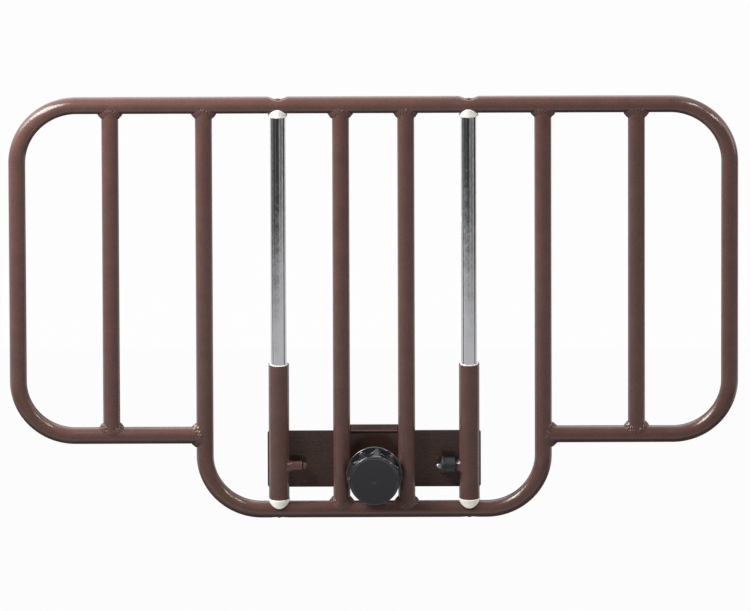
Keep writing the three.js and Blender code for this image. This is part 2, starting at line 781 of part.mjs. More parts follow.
// What the round at one lower corner of the jaw takes away
function jawCorner(hand, low) {
  const r = jawCornerRadius;
  const from = throat - overrun;
  const to = throat + jawThickness + overrun;
  const centreX = hand * (jawWidth / 2 - r);
  const xs = [centreX, centreX + hand * (r + overrun)].sort((a, b) => a - b);
  const block = box(...xs, from, to, low - overrun, low + r);
  const round = rod(r, -to - overrun, -from + overrun, knobSides).rotateX(quarterTurn);
  return cut(block, round.translate(centreX, 0, low + r));
}

function jawNut() {
  const start = -throat - jawThickness - seatGap;
  const end = start - jawNutHeight;
  const boreRadius = clearOf(clampScrewDiameter / 2, smallSides);
  const bore = rod(boreRadius, end - overrun, start + overrun, smallSides);
  return cut(hexPrism(jawNutWidth, end, start), bore);
}

function addPiece(group, name, geometry, material, place = {}) {
  const mesh = new THREE.Mesh(geometry, material);
  mesh.name = name;
  mesh.position.set(place.x ?? 0, place.y ?? 0, place.z ?? 0);
  mesh.rotation.set(place.turnX ?? 0, place.turnY ?? 0, place.turnZ ?? 0);
  group.add(mesh);
}

const hands = [{ name: 'left', side: -1 }, { name: 'right', side: 1 }];

// The guard's group and the carrier's have their origin on the bottom rail's centre line, between the posts
function guard() {
  const group = new THREE.Group();
  group.position.set(0, guardY, guardZ);
  addPiece(group, 'outer_frame_tube', outerFrameTube(), powderCoat);
  addPiece(group, 'centre_u_tube', centreUTube(), powderCoat);
  const wingBar = uprightBar(topRailRise - wingRailRise);
  const centreBar = uprightBar(topRailRise);
  const plug = postPlug();
  const topSaddle = bumper(topBumperDiameter);
  const bottomSaddle = bumper(bottomBumperDiameter);
  const topScrew = postScrew(topDimpleDepth);
  const bottomScrew = postScrew(bottomDimpleDepth);
  for (const { name, side } of hands) {
    const x = side * postSpread / 2;
    const down = { x, z: topRailRise, turnX: Math.PI };
    const topPlug = { x, z: topRailRise - sleeveStart, turnX: Math.PI };
    const wingPlace = { x: side * (sideX - wingBarInset), z: wingRailRise };
    addPiece(group, `${name}_wing_bar`, wingBar, powderCoat, wingPlace);
    addPiece(group, `${name}_centre_bar`, centreBar, powderCoat, { x: side * centreBarSpread / 2 });
    addPiece(group, `${name}_post`, post(side === 1), chrome, { x });
    addPiece(group, `${name}_top_post_plug`, plug, zincSteel, topPlug);
    addPiece(group, `${name}_bottom_post_plug`, plug, zincSteel, { x, z: sleeveStart });
    addPiece(group, `${name}_top_bumper`, topSaddle, nylon, down);
    addPiece(group, `${name}_bottom_bumper`, bottomSaddle, nylon, { x });
    addPiece(group, `${name}_top_post_screw`, topScrew, powderCoat, { x, z: topRailRise });
    addPiece(group, `${name}_bottom_post_screw`, bottomScrew, powderCoat, { x, turnX: Math.PI });
  }
  return group;
}

function carrier() {
  const group = new THREE.Group();
  group.position.set(0, guardY, guardZ);
  const ring = bush();
  for (const { name, side } of hands) {
    const x = side * postSpread / 2;
    addPiece(group, `${name}_sleeve`, sleeve(-side), powderCoat, { x });
    addPiece(group, `${name}_bottom_bush`, ring, nylon, { x, z: sleeveStart + bushRecess });
    addPiece(group, `${name}_top_bush`, ring, nylon, { x, z: sleeveEnd - bushRecess - bushLength });
  }
  const guide = { x: -postSpread / 2, z: bossRise, turnY: quarterTurn };
  addPiece(group, 'guide_boss', boss(), powderCoat, guide);
  addPiece(group, 'guide_screw', guideScrew(), powderCoat, guide);
  addPiece(group, 'guide_pad', guidePad(), nylon, guide);
  const latch = { x: postSpread / 2, z: bossRise, turnY: -quarterTurn };
  addPiece(group, 'latch_boss', boss(), powderCoat, latch);
  addPiece(group, 'latch_spring', latchSpring(), zincSteel, latch);
  addPiece(group, 'latch_pin', latchPin(), zincSteel, latch);
  addPiece(group, 'pull_knob', pullKnob(), blackPlastic, latch);
  addPiece(group, 'latch_nut', latchNut(), zincSteel, latch);
  return group;
}

// The clamp's pieces stand along the clamp axis, with their +Z turned towards the room
function clamp() {
  const group = new THREE.Group();
  const { knobStart, capStart } = clampStack();
  const facingRoom = { turnX: quarterTurn };
  addPiece(group, 'crossplate', crossplate(), plateCoat);
  addPiece(group, 'thrust_washer', thrustWasher(), zincSteel, facingRoom);
  addPiece(group, 'knob_spacer', knobSpacer(), zincSteel, facingRoom);
  const knobTurn = { turnX: quarterTurn, turnZ: knobRestAngle };
  addPiece(group, 'knob_body', knobBody(), blackPlastic, { ...knobTurn, y: -knobStart });
  addPiece(group, 'knob_cap', knobCap(), blackPlastic, { ...knobTurn, y: -capStart });
  addPiece(group, 'clamp_screw', clampScrew(), zincSteel, knobTurn);
  addPiece(group, 'clamp_jaw', clampJaw(), plateCoat);
  addPiece(group, 'jaw_nut', jawNut(), zincSteel, facingRoom);
  return group;
}

const bedRail = new THREE.Group();
bedRail.add(guard(), carrier(), clamp());

export default bedRail;
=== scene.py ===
"""A bed guard rail: a welded brown tube guard on two chromed posts, and the clamp that holds it to a bed."""

import math

import bmesh
import bpy
import numpy as np
from mathutils import Matrix, Quaternion, Vector


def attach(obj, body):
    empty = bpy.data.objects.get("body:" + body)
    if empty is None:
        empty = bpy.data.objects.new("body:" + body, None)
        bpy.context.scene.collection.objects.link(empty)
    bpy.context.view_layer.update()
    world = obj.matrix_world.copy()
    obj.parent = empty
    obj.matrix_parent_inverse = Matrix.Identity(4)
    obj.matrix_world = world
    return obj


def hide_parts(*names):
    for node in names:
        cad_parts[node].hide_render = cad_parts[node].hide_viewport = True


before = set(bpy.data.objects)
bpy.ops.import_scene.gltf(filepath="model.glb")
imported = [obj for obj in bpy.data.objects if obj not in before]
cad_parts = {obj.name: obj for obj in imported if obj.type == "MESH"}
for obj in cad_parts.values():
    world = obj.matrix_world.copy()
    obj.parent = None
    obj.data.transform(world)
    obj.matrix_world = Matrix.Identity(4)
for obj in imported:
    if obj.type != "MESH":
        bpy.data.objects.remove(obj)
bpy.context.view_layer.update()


# The outer frame: one length of 21.3 mm steel tube, cold bent at four corners, its ends coped and welded to
# the sides of the centre tube. Two dimples are pressed into its top for the post screws.
# The whole guard is powder coated after welding.

MM = 0.001
TAU = 2 * np.pi

TUBE_RADIUS = 10.65
GUARD_Y = -16.1
SIDE_X = 446.35
CENTRE_SIDE_X = 212.4
TOP_RAIL_Z = 478.3
WING_RAIL_Z = 47.3
BOTTOM_RAIL_Z = -50.2
TOP_BEND = 75.0
LOWER_BEND = 71.5
POST_X = 119.5
DIMPLE_WIDTH = 22.0
TOP_DIMPLE_DEPTH = 4.1
TOP_DIMPLE_TILT = 0.17
BOTTOM_DIMPLE_DEPTH = 1.6
DIMPLE_SOFTNESS = 2.3
DIMPLE_SWELL = 0.012
SWELL_REACH = 0.55 * DIMPLE_WIDTH
COPE_RUN = 30.0
TUBE_SIDES = 64
RUN_STEP = 15.0
BEND_STEP = 2.0
MARK_REACH = 16.0
MARK_CUTS = 65
SAME_PLACE = 1e-4

COAT_BROWN = "#5b423c"
COAT_BROWN_DARK = "#4b3531"
COAT_BROWN_WARM = "#644740"


def grid(points, round_u=False, round_v=False, keep=None):
    """Corners and quads of a grid of points. round_u and round_v join the last row or column to the first.
    keep says which quads stay."""
    rows, columns = points.shape[:2]
    i = np.arange(rows if round_u else rows - 1)[:, None]
    j = np.arange(columns if round_v else columns - 1)[None, :]
    below, right = (i + 1) % rows, (j + 1) % columns
    quads = np.stack([i * columns + j, i * columns + right, below * columns + right, below * columns + j], -1)
    quads = quads.reshape(-1, 4) if keep is None else quads[keep]
    return points.reshape(-1, 3), quads


def once_round(count):
    """Angles once round, the end left out."""
    return np.arange(count) * TAU / count


def make_piece(name, shells, material, sharp=40.0):
    """One object from shells of (points in mm, quads). Corners closer than SAME_PLACE mm become one, which
    closes seams and poles. Edges that turn by more than sharp degrees stay crisp, and each smooth corner's
    normal is the mean of its faces' normals weighted by their areas, so that flat faces look flat up to their
    edges."""
    starts = np.cumsum([0] + [len(points) for points, _ in shells[:-1]])
    points = np.concatenate([points for points, _ in shells]) * MM
    quads = np.concatenate([quads + start for (_, quads), start in zip(shells, starts)])
    mesh = bpy.data.meshes.new(name)
    mesh.from_pydata(points.tolist(), [], quads.tolist())
    cleaned = bmesh.new()
    cleaned.from_mesh(mesh)
    bmesh.ops.remove_doubles(cleaned, verts=cleaned.verts, dist=SAME_PLACE * MM)
    loose = [corner for corner in cleaned.verts if not corner.link_faces]
    bmesh.ops.delete(cleaned, geom=loose, context="VERTS")
    cleaned.to_mesh(mesh)
    cleaned.free()
    mesh.shade_smooth()
    mesh.set_sharp_from_angle(angle=math.radians(sharp))
    mesh.materials.append(material)
    made = bpy.data.objects.new(name, mesh)
    bpy.context.scene.collection.objects.link(made)
    made.modifiers.new("weighted_normals", "WEIGHTED_NORMAL").keep_sharp = True
    shaded = made.evaluated_get(bpy.context.evaluated_depsgraph_get())
    made.data = bpy.data.meshes.new_from_object(shaded)
    made.modifiers.clear()
    bpy.data.meshes.remove(mesh)
    made.data.name = name
    return made


def place(shell, matrix):
    """A shell moved and turned by a 4 by 4 matrix."""
    points, quads = shell
    matrix = np.array(matrix)
    return points @ matrix[:3, :3].T + matrix[:3, 3], quads


def colour(code):
    """The linear colour of an sRGB hex code."""
    srgb = np.array([int(code[i:i + 2], 16) for i in (1, 3, 5)]) / 255
    linear = np.where(srgb <= 0.04045, srgb / 12.92, ((srgb + 0.055) / 1.055) ** 2.4)
    return (*linear.tolist(), 1.0)


def node(tree, kind, inputs=None, **settings):
    """Adds one shader node. inputs gives each socket a value or the output it is linked from."""
    made = tree.nodes.new("ShaderNode" + kind)
    for name, value in settings.items():
        setattr(made, name, value)
    for socket, value in (inputs or {}).items():
        if isinstance(value, bpy.types.NodeSocket):
            tree.links.new(value, made.inputs[socket])
        else:
            made.inputs[socket].default_value = value
    return made


def new_material(name):
    """An empty material with its tree and its Object coordinates."""
    made = bpy.data.materials.new(name)
    made.use_nodes = True
    tree = made.node_tree
    tree.nodes.clear()
    return made, tree, node(tree, "TexCoord").outputs["Object"]


def bent_path(corners, bends, marks):
    """The centre line of a tube bent in the XZ plane, as points and unit tangents. Each corner's arc is a
    circle tangent to both its runs, cut every BEND_STEP degrees. Runs are cut every RUN_STEP mm, and every
    half millimetre near the marks."""
    corners = np.array(corners, float)
    run = np.diff(corners, axis=0)
    along = run / np.linalg.norm(run, axis=1)[:, None]
    start, points, tangents = corners[0], [], []
    for i, bend in enumerate([*bends, None]):
        if bend is None:
            end = corners[-1]
        else:
            turn = math.acos(float(along[i] @ along[i + 1]))
            end = corners[i + 1] - along[i] * bend * math.tan(turn / 2)
        length = float(np.linalg.norm(end - start))
        places = np.linspace(0, length, max(2, round(length / RUN_STEP)))
        for mark in marks:
            near = float((np.array(mark) - start) @ along[i])
            if 0 < near < length and abs(np.cross(along[i], np.array(mark) - start)) < 1:
                places = np.concatenate([places, near + np.linspace(-MARK_REACH, MARK_REACH, MARK_CUTS)])
        places = np.unique(places)
        points.append(start + places[:, None] * along[i])
        tangents.append(np.repeat(along[i][None], len(places), 0))
        if bend is not None:
            angles = np.linspace(0, turn, round(math.degrees(turn) / BEND_STEP))[1:-1, None]
            inward = along[i + 1] - along[i] * (along[i] @ along[i + 1])
            inward /= np.linalg.norm(inward)
            points.append(end + bend * (along[i] * np.sin(angles) + inward * (1 - np.cos(angles))))
            tangents.append(along[i] * np.cos(angles) + inward * np.sin(angles))
            start = corners[i + 1] + along[i + 1] * bend * math.tan(turn / 2)
    return np.concatenate(points), np.concatenate(tangents)


def cope(across):
    """How far from a run tube's centre line a tube of the same size ends, at a distance to one side of it."""
    return np.sqrt(np.maximum(TUBE_RADIUS**2 - across**2, 0))


def dimple_round(depth):
    """The radius of the round that cuts a dimple of the given depth at the dimples' width."""
    return (DIMPLE_WIDTH**2 / 4 + depth**2) / (2 * depth)


def soft_minimum(one, two, soft):
    """The lower of two surfaces, rounded where they meet within the distance soft."""
    share = np.clip(0.5 + (one - two) / (2 * soft), 0, 1)
    return one * (1 - share) + two * share - soft * share * (1 - share)


def posted_tube(corners, bends, rail_z, side, dimple_depth):
    """A bent tube whose two ends are coped on to tubes across them. A point at angle a round the line is the
    line's point plus the radius times (cos a along the outward normal + sin a along Y). A dimple pushes the
    wall down to a round of the dimple's width and depth, with a soft lower limit between wall and round. The
    top rail's dimples fall towards the back."""
    marks = [(-POST_X, rail_z), (POST_X, rail_z)]
    line, tangent = bent_path(corners, bends, marks)
    travelled = np.concatenate([[0], np.cumsum(np.linalg.norm(np.diff(line, axis=0), axis=1))])
    angle = once_round(TUBE_SIDES)
    normal = np.stack([-tangent[:, 1], tangent[:, 0]], -1)
    out, across = TUBE_RADIUS * np.cos(angle), TUBE_RADIUS * np.sin(angle)
    from_start, from_end = travelled[:, None], (travelled[-1] - travelled)[:, None]
    slide = cope(across) * (np.clip(1 - from_start / COPE_RUN, 0, 1) - np.clip(1 - from_end / COPE_RUN, 0, 1))
    flat = line[:, None] + out[None, :, None] * normal[:, None] + slide[..., None] * tangent[:, None]
    depth = np.repeat(across[None], len(line), 0)
    round_radius = dimple_round(dimple_depth)
    for mark_x, _ in marks:
        offset = flat[..., 0] - mark_x
        height = side * (flat[..., 1] - rail_z)
        reach = np.abs(height) < 2 * TUBE_RADIUS
        floor = TUBE_RADIUS - dimple_depth + round_radius
        floor = floor - np.sqrt(np.maximum(round_radius**2 - offset**2, 0.01))
        floor = floor - (TOP_DIMPLE_TILT * across if side > 0 else 0)
        soft = DIMPLE_SOFTNESS * dimple_depth / TOP_DIMPLE_DEPTH
        lowered = soft_minimum(floor, height, soft)
        near = reach & (np.abs(offset) < round_radius) & (height > 0)
        pushed = np.where(near, height - lowered, 0)
        flat[..., 1] -= side * pushed
        bulge = np.where(reach, np.exp(-(offset / SWELL_REACH) ** 2), 0)
        depth = depth * (1 + DIMPLE_SWELL * dimple_depth * bulge)
    ring = np.concatenate([flat, depth[..., None]], -1)
    points = np.stack([ring[..., 0], ring[..., 2], ring[..., 1]], -1)
    share = np.linspace(1, 0, 7)[:, None]
    caps = []
    for end, inward in ((0, 1), (-1, -1)):
        cap_slide = inward * cope(share * across)
        cap = line[end] + share[..., None] * out[None, :, None] * normal[end]
        cap = cap + cap_slide[..., None] * tangent[end]
        cap = np.stack([cap[..., 0], share * across, cap[..., 1]], -1)
        caps.append(cap)
    points = np.concatenate([caps[0][::-1], points[1:-1], caps[1]])
    points[..., 1] += GUARD_Y
    return grid(points[:, ::-1], round_v=True)


BEAD_LEG = 5.4
BEAD_CROWN = 0.25
BEAD_FLANK = 0.25
SEAM_ROUND = 5.0
RIPPLE_PITCH = 2.1
RIPPLE_HEIGHT = 0.42
LUMP_HEIGHT = 0.2
BEAD_THINNING = 0.45
BEAD_TOE_SINK = 0.12
BEAD_ROOT = 2.0
CRESCENT = 1.3


def weld_bead(turn, seed):
    """The fillet of weld round a tube that stands along +Z on a run tube along X. The seam is where the two
    cylinders meet. From each seam point one leg lies up the standing tube and one along the run tube, and
    the face between them is a straight line raised by an arch, rippled along the seam in crescents. Sums of
    sines with seeded phases make the legs and the ripples uneven. The legs are shorter at the flanks."""
    phase = np.random.default_rng(seed).uniform(0, TAU, 7)
    around = once_round(360)
    x, y = TUBE_RADIUS * np.cos(around), TUBE_RADIUS * np.sin(around)
    seam = np.stack([x, y, np.sqrt(TUBE_RADIUS**2 - y**2 + SEAM_ROUND**2)], -1)
    tangent = np.roll(seam, -1, 0) - np.roll(seam, 1, 0)
    tangent /= np.linalg.norm(tangent, axis=1)[:, None]
    standing = np.stack([np.cos(around), np.sin(around), 0 * x], -1)
    lying = np.stack([0 * x, y, seam[:, 2]], -1)
    lying /= np.linalg.norm(lying, axis=1)[:, None]
    face = standing + lying
    face /= np.linalg.norm(face, axis=1)[:, None]
    up, down = np.cross(standing, tangent), np.cross(tangent, lying)
    flank = np.abs(np.sin(around))
    uneven = 1 + 0.09 * np.sin(2 * around + phase[0]) + 0.06 * np.sin(5 * around + phase[1])
    leg = (BEAD_LEG * uneven * (1 - BEAD_THINNING * flank**2))[:, None]
    high = seam + up * leg
    low = seam + down * leg
    high[:, :2] *= ((TUBE_RADIUS - BEAD_TOE_SINK) / np.linalg.norm(high[:, :2], axis=1))[:, None]
    low[:, 1:] *= ((TUBE_RADIUS - BEAD_TOE_SINK) / np.linalg.norm(low[:, 1:], axis=1))[:, None]
    v = np.linspace(0, 1, 15)
    travelled = np.cumsum(np.linalg.norm(np.diff(seam, axis=0, append=seam[:1]), axis=1))
    ripples = round(travelled[-1] / RIPPLE_PITCH)
    wave = ripples * np.pi * travelled[:, None] / travelled[-1] + phase[2]
    wave = wave + CRESCENT * (2 * v - 1) ** 2
    wave = wave + 0.5 * np.sin(7 * around[:, None] + phase[3]) + 0.7 * np.sin(3 * around[:, None] + phase[4])
    crest = 1 - np.abs(np.cos(wave)) ** 3
    crest = crest * (1 + 0.45 * np.sin(11 * around[:, None] + phase[5]))
    lump = np.sin(23 * around[:, None] + 5 * v + phase[6]) + np.sin(17 * around[:, None] - 7 * v + phase[5])
    arch = 4 * v * (1 - v)
    rise = (BEAD_CROWN + BEAD_FLANK * flank)[:, None] * arch
    rise = rise + (RIPPLE_HEIGHT * (crest - 0.5) + LUMP_HEIGHT * lump) * np.sqrt(arch)
    skin = low[:, None] * (1 - v)[:, None] + high[:, None] * v[:, None] + rise[..., None] * face[:, None]
    root = (seam - BEAD_ROOT * face)[:, None]
    points = np.concatenate([skin, root], 1)
    return place(grid(points[:, ::-1], round_u=True, round_v=True), turn)


UPSIDE_DOWN = (1, 0, 0)


def joint_at(x, z, axis=(0, 1, 0), degrees=0):
    """The matrix that stands a joint at a place in the guard's plane, turned about an axis."""
    turn = Matrix.Rotation(math.radians(degrees), 4, axis)
    return Matrix.Translation((x, GUARD_Y, z)) @ turn


def powder_coat(name, mid, dark, warm, roughness):
    """Glossy powder coat: an even brown with faint darker and warmer clouds, and the low orange-peel waves
    that baked powder flows into, 2 to 3 mm across, with finer grit on them. Waves break up highlights."""
    made, tree, place_in = new_material(name)
    clouds = node(tree, "TexNoise", {"Vector": place_in, "Scale": 45.0, "Detail": 3.0, "Roughness": 0.55})
    specks = node(tree, "TexNoise", {"Vector": place_in, "Scale": 420.0, "Detail": 2.0, "Roughness": 0.6})
    cloud = node(tree, "MapRange", {"Value": clouds.outputs["Fac"], "From Min": 0.35, "From Max": 0.68})
    speck = node(tree, "MapRange", {"Value": specks.outputs["Fac"], "From Min": 0.4, "From Max": 0.7,
                                    "To Max": 0.45})
    first = node(tree, "Mix", {0: cloud.outputs[0], 6: colour(mid), 7: colour(warm)}, data_type="RGBA")
    second = node(tree, "Mix", {0: speck.outputs[0], 6: first.outputs[2], 7: colour(dark)}, data_type="RGBA")
    peel = node(tree, "TexNoise", {"Vector": place_in, "Scale": 330.0, "Detail": 1.5, "Roughness": 0.5})
    grit = node(tree, "TexNoise", {"Vector": place_in, "Scale": 1500.0, "Detail": 1.0})
    waves = node(tree, "Bump", {"Height": peel.outputs["Fac"], "Strength": 0.5, "Distance": 0.00022})
    fine = node(tree, "Bump", {"Height": grit.outputs["Fac"], "Normal": waves.outputs["Normal"],
                               "Strength": 0.25, "Distance": 0.00005})
    gloss = node(tree, "MapRange", {"Value": specks.outputs["Fac"], "To Min": roughness - 0.05,
                                    "To Max": roughness + 0.07})
    coat = node(tree, "BsdfPrincipled", {"Base Color": second.outputs[2], "Roughness": gloss.outputs[0],
                                         "IOR": 1.5, "Normal": fine.outputs["Normal"]})
    node(tree, "OutputMaterial", {"Surface": coat.outputs["BSDF"]})
    return made


brown_coat = powder_coat("powder_coat_brown", COAT_BROWN, COAT_BROWN_DARK, COAT_BROWN_WARM, 0.21)

outer_corners = [(-CENTRE_SIDE_X, WING_RAIL_Z), (-SIDE_X, WING_RAIL_Z), (-SIDE_X, TOP_RAIL_Z),
                 (SIDE_X, TOP_RAIL_Z), (SIDE_X, WING_RAIL_Z), (CENTRE_SIDE_X, WING_RAIL_Z)]
outer_bends = [LOWER_BEND, TOP_BEND, TOP_BEND, LOWER_BEND]
outer_tube = make_piece("outer_tube", [
    posted_tube(outer_corners, outer_bends, TOP_RAIL_Z, 1, TOP_DIMPLE_DEPTH),
    weld_bead(joint_at(-CENTRE_SIDE_X, WING_RAIL_Z, degrees=-90), 1),
    weld_bead(joint_at(CENTRE_SIDE_X, WING_RAIL_Z, degrees=90), 2),
], brown_coat)
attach(outer_tube, "guard")
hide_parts("outer_frame_tube")


# The centre tube: a U of the same tube under the top rail, with shallow dimples under its bottom for the
# lower post screws. Its two ends are coped and welded to the top rail.

centre_corners = [(-CENTRE_SIDE_X, TOP_RAIL_Z), (-CENTRE_SIDE_X, BOTTOM_RAIL_Z),
                  (CENTRE_SIDE_X, BOTTOM_RAIL_Z), (CENTRE_SIDE_X, TOP_RAIL_Z)]
centre_tube = make_piece("centre_tube", [
    posted_tube(centre_corners, [LOWER_BEND, LOWER_BEND], BOTTOM_RAIL_Z, -1, BOTTOM_DIMPLE_DEPTH),
    weld_bead(joint_at(-CENTRE_SIDE_X, TOP_RAIL_Z, UPSIDE_DOWN, 180), 3),
    weld_bead(joint_at(CENTRE_SIDE_X, TOP_RAIL_Z, UPSIDE_DOWN, 180), 4),
], brown_coat)
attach(centre_tube, "guard")
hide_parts("centre_u_tube")


# The upright bars: four straight lengths of the same tube, coped at both ends and welded between the rails,
# one in each wing and two beside the clamp.

WING_BAR_X = 329.5
CENTRE_BAR_X = 40.8
SIDES = ((-1, "left"), (1, "right"))


def upright_bar(x, low_z, high_z):
    """A round bar whose ends follow the rails they stand on: each end's height is the rail's surface there."""
    angle = once_round(TUBE_SIDES)
    share = np.linspace(1, 0, 7)[:, None]
    foot = low_z + cope(share * TUBE_RADIUS * np.sin(angle))
    head = high_z - cope(share * TUBE_RADIUS * np.sin(angle))
    t = np.linspace(0, 1, 25)[1:-1, None]
    height = np.concatenate([foot[::-1], foot[:1] * (1 - t) + head[:1] * t, head])
    radius = np.concatenate([share[::-1], 1 + 0 * t, share]) * TUBE_RADIUS
    points = np.stack([x + radius * np.cos(angle), GUARD_Y + radius * np.sin(angle), height], -1)
    return grid(points, round_v=True)


for side, hand in SIDES:
    for kind, x, foot_z in (("wing", WING_BAR_X, WING_RAIL_Z), ("centre", CENTRE_BAR_X, BOTTOM_RAIL_Z)):
        seed = int(x) + side
        bar = make_piece(f"{hand}_{kind}_upright", [
            upright_bar(side * x, foot_z, TOP_RAIL_Z),
            weld_bead(joint_at(side * x, foot_z), seed),
            weld_bead(joint_at(side * x, TOP_RAIL_Z, UPSIDE_DOWN, 180), seed + 9),
        ], brown_coat)
        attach(bar, "guard")
        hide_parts(f"{hand}_{kind}_bar")


# The posts: 19.3 mm steel tube, polished and chrome plated, which the guard slides on. The right one has two
# holes for the latch pin, one for the guard up and one for the guard down.

POST_RADIUS = 9.65
POST_WALL = 1.5
POST_TO_RAIL = 14.9
POST_LOW_Z = BOTTOM_RAIL_Z + POST_TO_RAIL
POST_HIGH_Z = TOP_RAIL_Z - POST_TO_RAIL
PIN_HOLE_RADIUS = 3.3
PIN_HOLE_Z = (6.3, 329.6)
HOLE_PATCH = 5.0


def lathe(angle, rows, closed=False):
    """Rows of (radius, height), each a number or one value per angle, turned about Z. Closed rows run round
    the section of a wall."""
    radius, height = np.stack([np.broadcast_arrays(*row, angle)[:2] for row in rows], 1)
    points = np.stack([radius * np.cos(angle), radius * np.sin(angle), height], -1)
    return grid(points, round_u=closed, round_v=True)


def eased(profile, radius, steps=4):
    """A profile with each corner rounded: an arc of the given radius, or less where a side is short, written
    as the quadratic curve between the two points where it leaves the sides."""
    profile = np.array(profile, float)
    made = [profile[0]]
    for before, corner, after in zip(profile[:-2], profile[1:-1], profile[2:]):
        one, two = before - corner, after - corner
        reach = min(radius, np.linalg.norm(one) / 2, np.linalg.norm(two) / 2)
        start = corner + one / np.linalg.norm(one) * reach
        end = corner + two / np.linalg.norm(two) * reach
        t = np.linspace(0, 1, steps)[:, None]
        made.extend((1 - t) ** 2 * start + 2 * t * (1 - t) * corner + t**2 * end)
    made.append(profile[-1])
    return np.array(made)


def drilled_wall(radius, low_z, high_z, holes, inward):
    """A round wall about Z with round holes that face -X. Its grid is unrolled as (distance round, height);
    a square patch about each hole is left out and filled with rings that go from the square to the circle."""
    side = np.arange(-12, 13) / 12 * HOLE_PATCH
    rest = np.linspace(HOLE_PATCH / POST_RADIUS, TAU - HOLE_PATCH / POST_RADIUS, 73)[1:-1]
    angle = np.concatenate([side / POST_RADIUS, rest])
    heights = np.linspace(low_z, high_z, 40)
    for hole in holes:
        heights = heights[np.abs(heights - hole) > HOLE_PATCH + 1]
        heights = np.concatenate([heights, hole + side])
    heights = np.sort(heights)

    def on_wall(around, height):
        """The wall's point at an angle from -X and a height."""
        return np.stack([-radius * np.cos(around), -radius * np.sin(around), height], -1)

    points = on_wall(*np.broadcast_arrays(angle[None], heights[:, None]))
    middle = (heights[:-1] + heights[1:])[:, None] / 2
    near = np.arange(len(angle))[None] < len(side) - 1
    keep = np.ones((len(heights) - 1, len(angle)), bool)
    for hole in holes:
        keep &= ~(near & (np.abs(middle - hole) < HOLE_PATCH))
    shells = [grid(points, round_v=True, keep=keep)]
    square = np.concatenate([np.stack([side[:-1], -HOLE_PATCH + 0 * side[:-1]], -1),
                             np.stack([HOLE_PATCH + 0 * side[:-1], side[:-1]], -1),
                             np.stack([side[:0:-1], HOLE_PATCH + 0 * side[1:]], -1),
                             np.stack([-HOLE_PATCH + 0 * side[1:], side[:0:-1]], -1)])
    circle = square / np.linalg.norm(square, axis=1)[:, None] * PIN_HOLE_RADIUS
    t = np.linspace(0, 1, 6)[:, None, None]
    rings = square * (1 - t) + circle * t
    for hole in holes:
        shells.append(grid(on_wall(rings[..., 0] / POST_RADIUS, rings[..., 1] + hole), round_v=True))
    if inward:
        shells = [(points, quads[:, ::-1]) for points, quads in shells]
    edges = [on_wall(circle[:, 0] / POST_RADIUS, circle[:, 1] + hole) for hole in holes]
    ends = [on_wall(angle, low_z + 0 * angle), on_wall(angle, high_z + 0 * angle)]
    return shells, edges, ends


def chromed_post(x, holes):
    """A tube of two walls joined at both ends and round each hole."""
    outer, outer_edges, outer_ends = drilled_wall(POST_RADIUS, POST_LOW_Z, POST_HIGH_Z, holes, False)
    inner, inner_edges, inner_ends = drilled_wall(POST_RADIUS - POST_WALL, POST_LOW_Z, POST_HIGH_Z, holes, True)
    shells = outer + inner
    shells += [grid(np.stack([inner_ends[0], outer_ends[0]]), round_v=True),
               grid(np.stack([outer_ends[1], inner_ends[1]]), round_v=True)]
    shells += [grid(np.stack(pair), round_v=True) for pair in zip(outer_edges, inner_edges)]
    return [place(shell, Matrix.Translation((x, GUARD_Y, 0))) for shell in shells]


def chrome_plate():
    """Bright chrome over polished steel: a near mirror. Faint draw lines along the tube, a slow waviness of
    the polish and small dents left by the drawing, about 2 mm wide and 7 mm long, break up its stripes. The
    dents are strongest at the posts' upper ends."""
    made, tree, place_in = new_material("chrome_plate_polished")
    dented = node(tree, "Mapping", {"Vector": place_in, "Scale": (430.0, 430.0, 120.0)})
    dents = node(tree, "TexNoise", {"Vector": dented.outputs["Vector"], "Scale": 1.0, "Detail": 1.5})
    height = node(tree, "SeparateXYZ", {0: place_in}).outputs["Z"]
    dent_share = node(tree, "MapRange", {"Value": height, "From Min": 0.1, "From Max": 0.4, "To Min": 0.25,
                                         "To Max": 1.0}).outputs[0]
    stretched = node(tree, "Mapping", {"Vector": place_in, "Scale": (900.0, 900.0, 12.0)})
    lines = node(tree, "TexNoise", {"Vector": stretched.outputs["Vector"], "Scale": 1.0, "Detail": 2.0})
    slow = node(tree, "TexNoise", {"Vector": place_in, "Scale": 32.0, "Detail": 1.0})
    gloss = node(tree, "MapRange", {"Value": lines.outputs["Fac"], "To Min": 0.03, "To Max": 0.08})
    waves = node(tree, "Bump", {"Height": slow.outputs["Fac"], "Strength": 0.35, "Distance": 0.0006})
    hollows = node(tree, "Bump", {"Height": dents.outputs["Fac"], "Normal": waves.outputs["Normal"],
                                  "Strength": dent_share, "Distance": 0.0001})
    drawn = node(tree, "Bump", {"Height": lines.outputs["Fac"], "Normal": hollows.outputs["Normal"],
                                "Strength": 0.12, "Distance": 0.00002})
    tone = node(tree, "Mix", {0: lines.outputs["Fac"], 6: colour("#cccdcf"), 7: colour("#c2c3c5")},
                data_type="RGBA")
    metal = node(tree, "BsdfPrincipled", {"Base Color": tone.outputs[2], "Metallic": 1.0,
                                          "Roughness": gloss.outputs[0], "Normal": drawn.outputs["Normal"]})
    node(tree, "OutputMaterial", {"Surface": metal.outputs["BSDF"]})
    return made


chrome = chrome_plate()
for side, hand in SIDES:
    shells = chromed_post(side * POST_X, PIN_HOLE_Z if side > 0 else ())
    tube = make_piece(f"{hand}_chromed_post", shells, chrome)
    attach(tube, "guard")
    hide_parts(f"{hand}_post")


# Plugs, latch pin and latch spring: turned and wound steel, zinc plated. They sit inside the posts and the
# latch boss, where little of them shows, so their solids stay as they are.


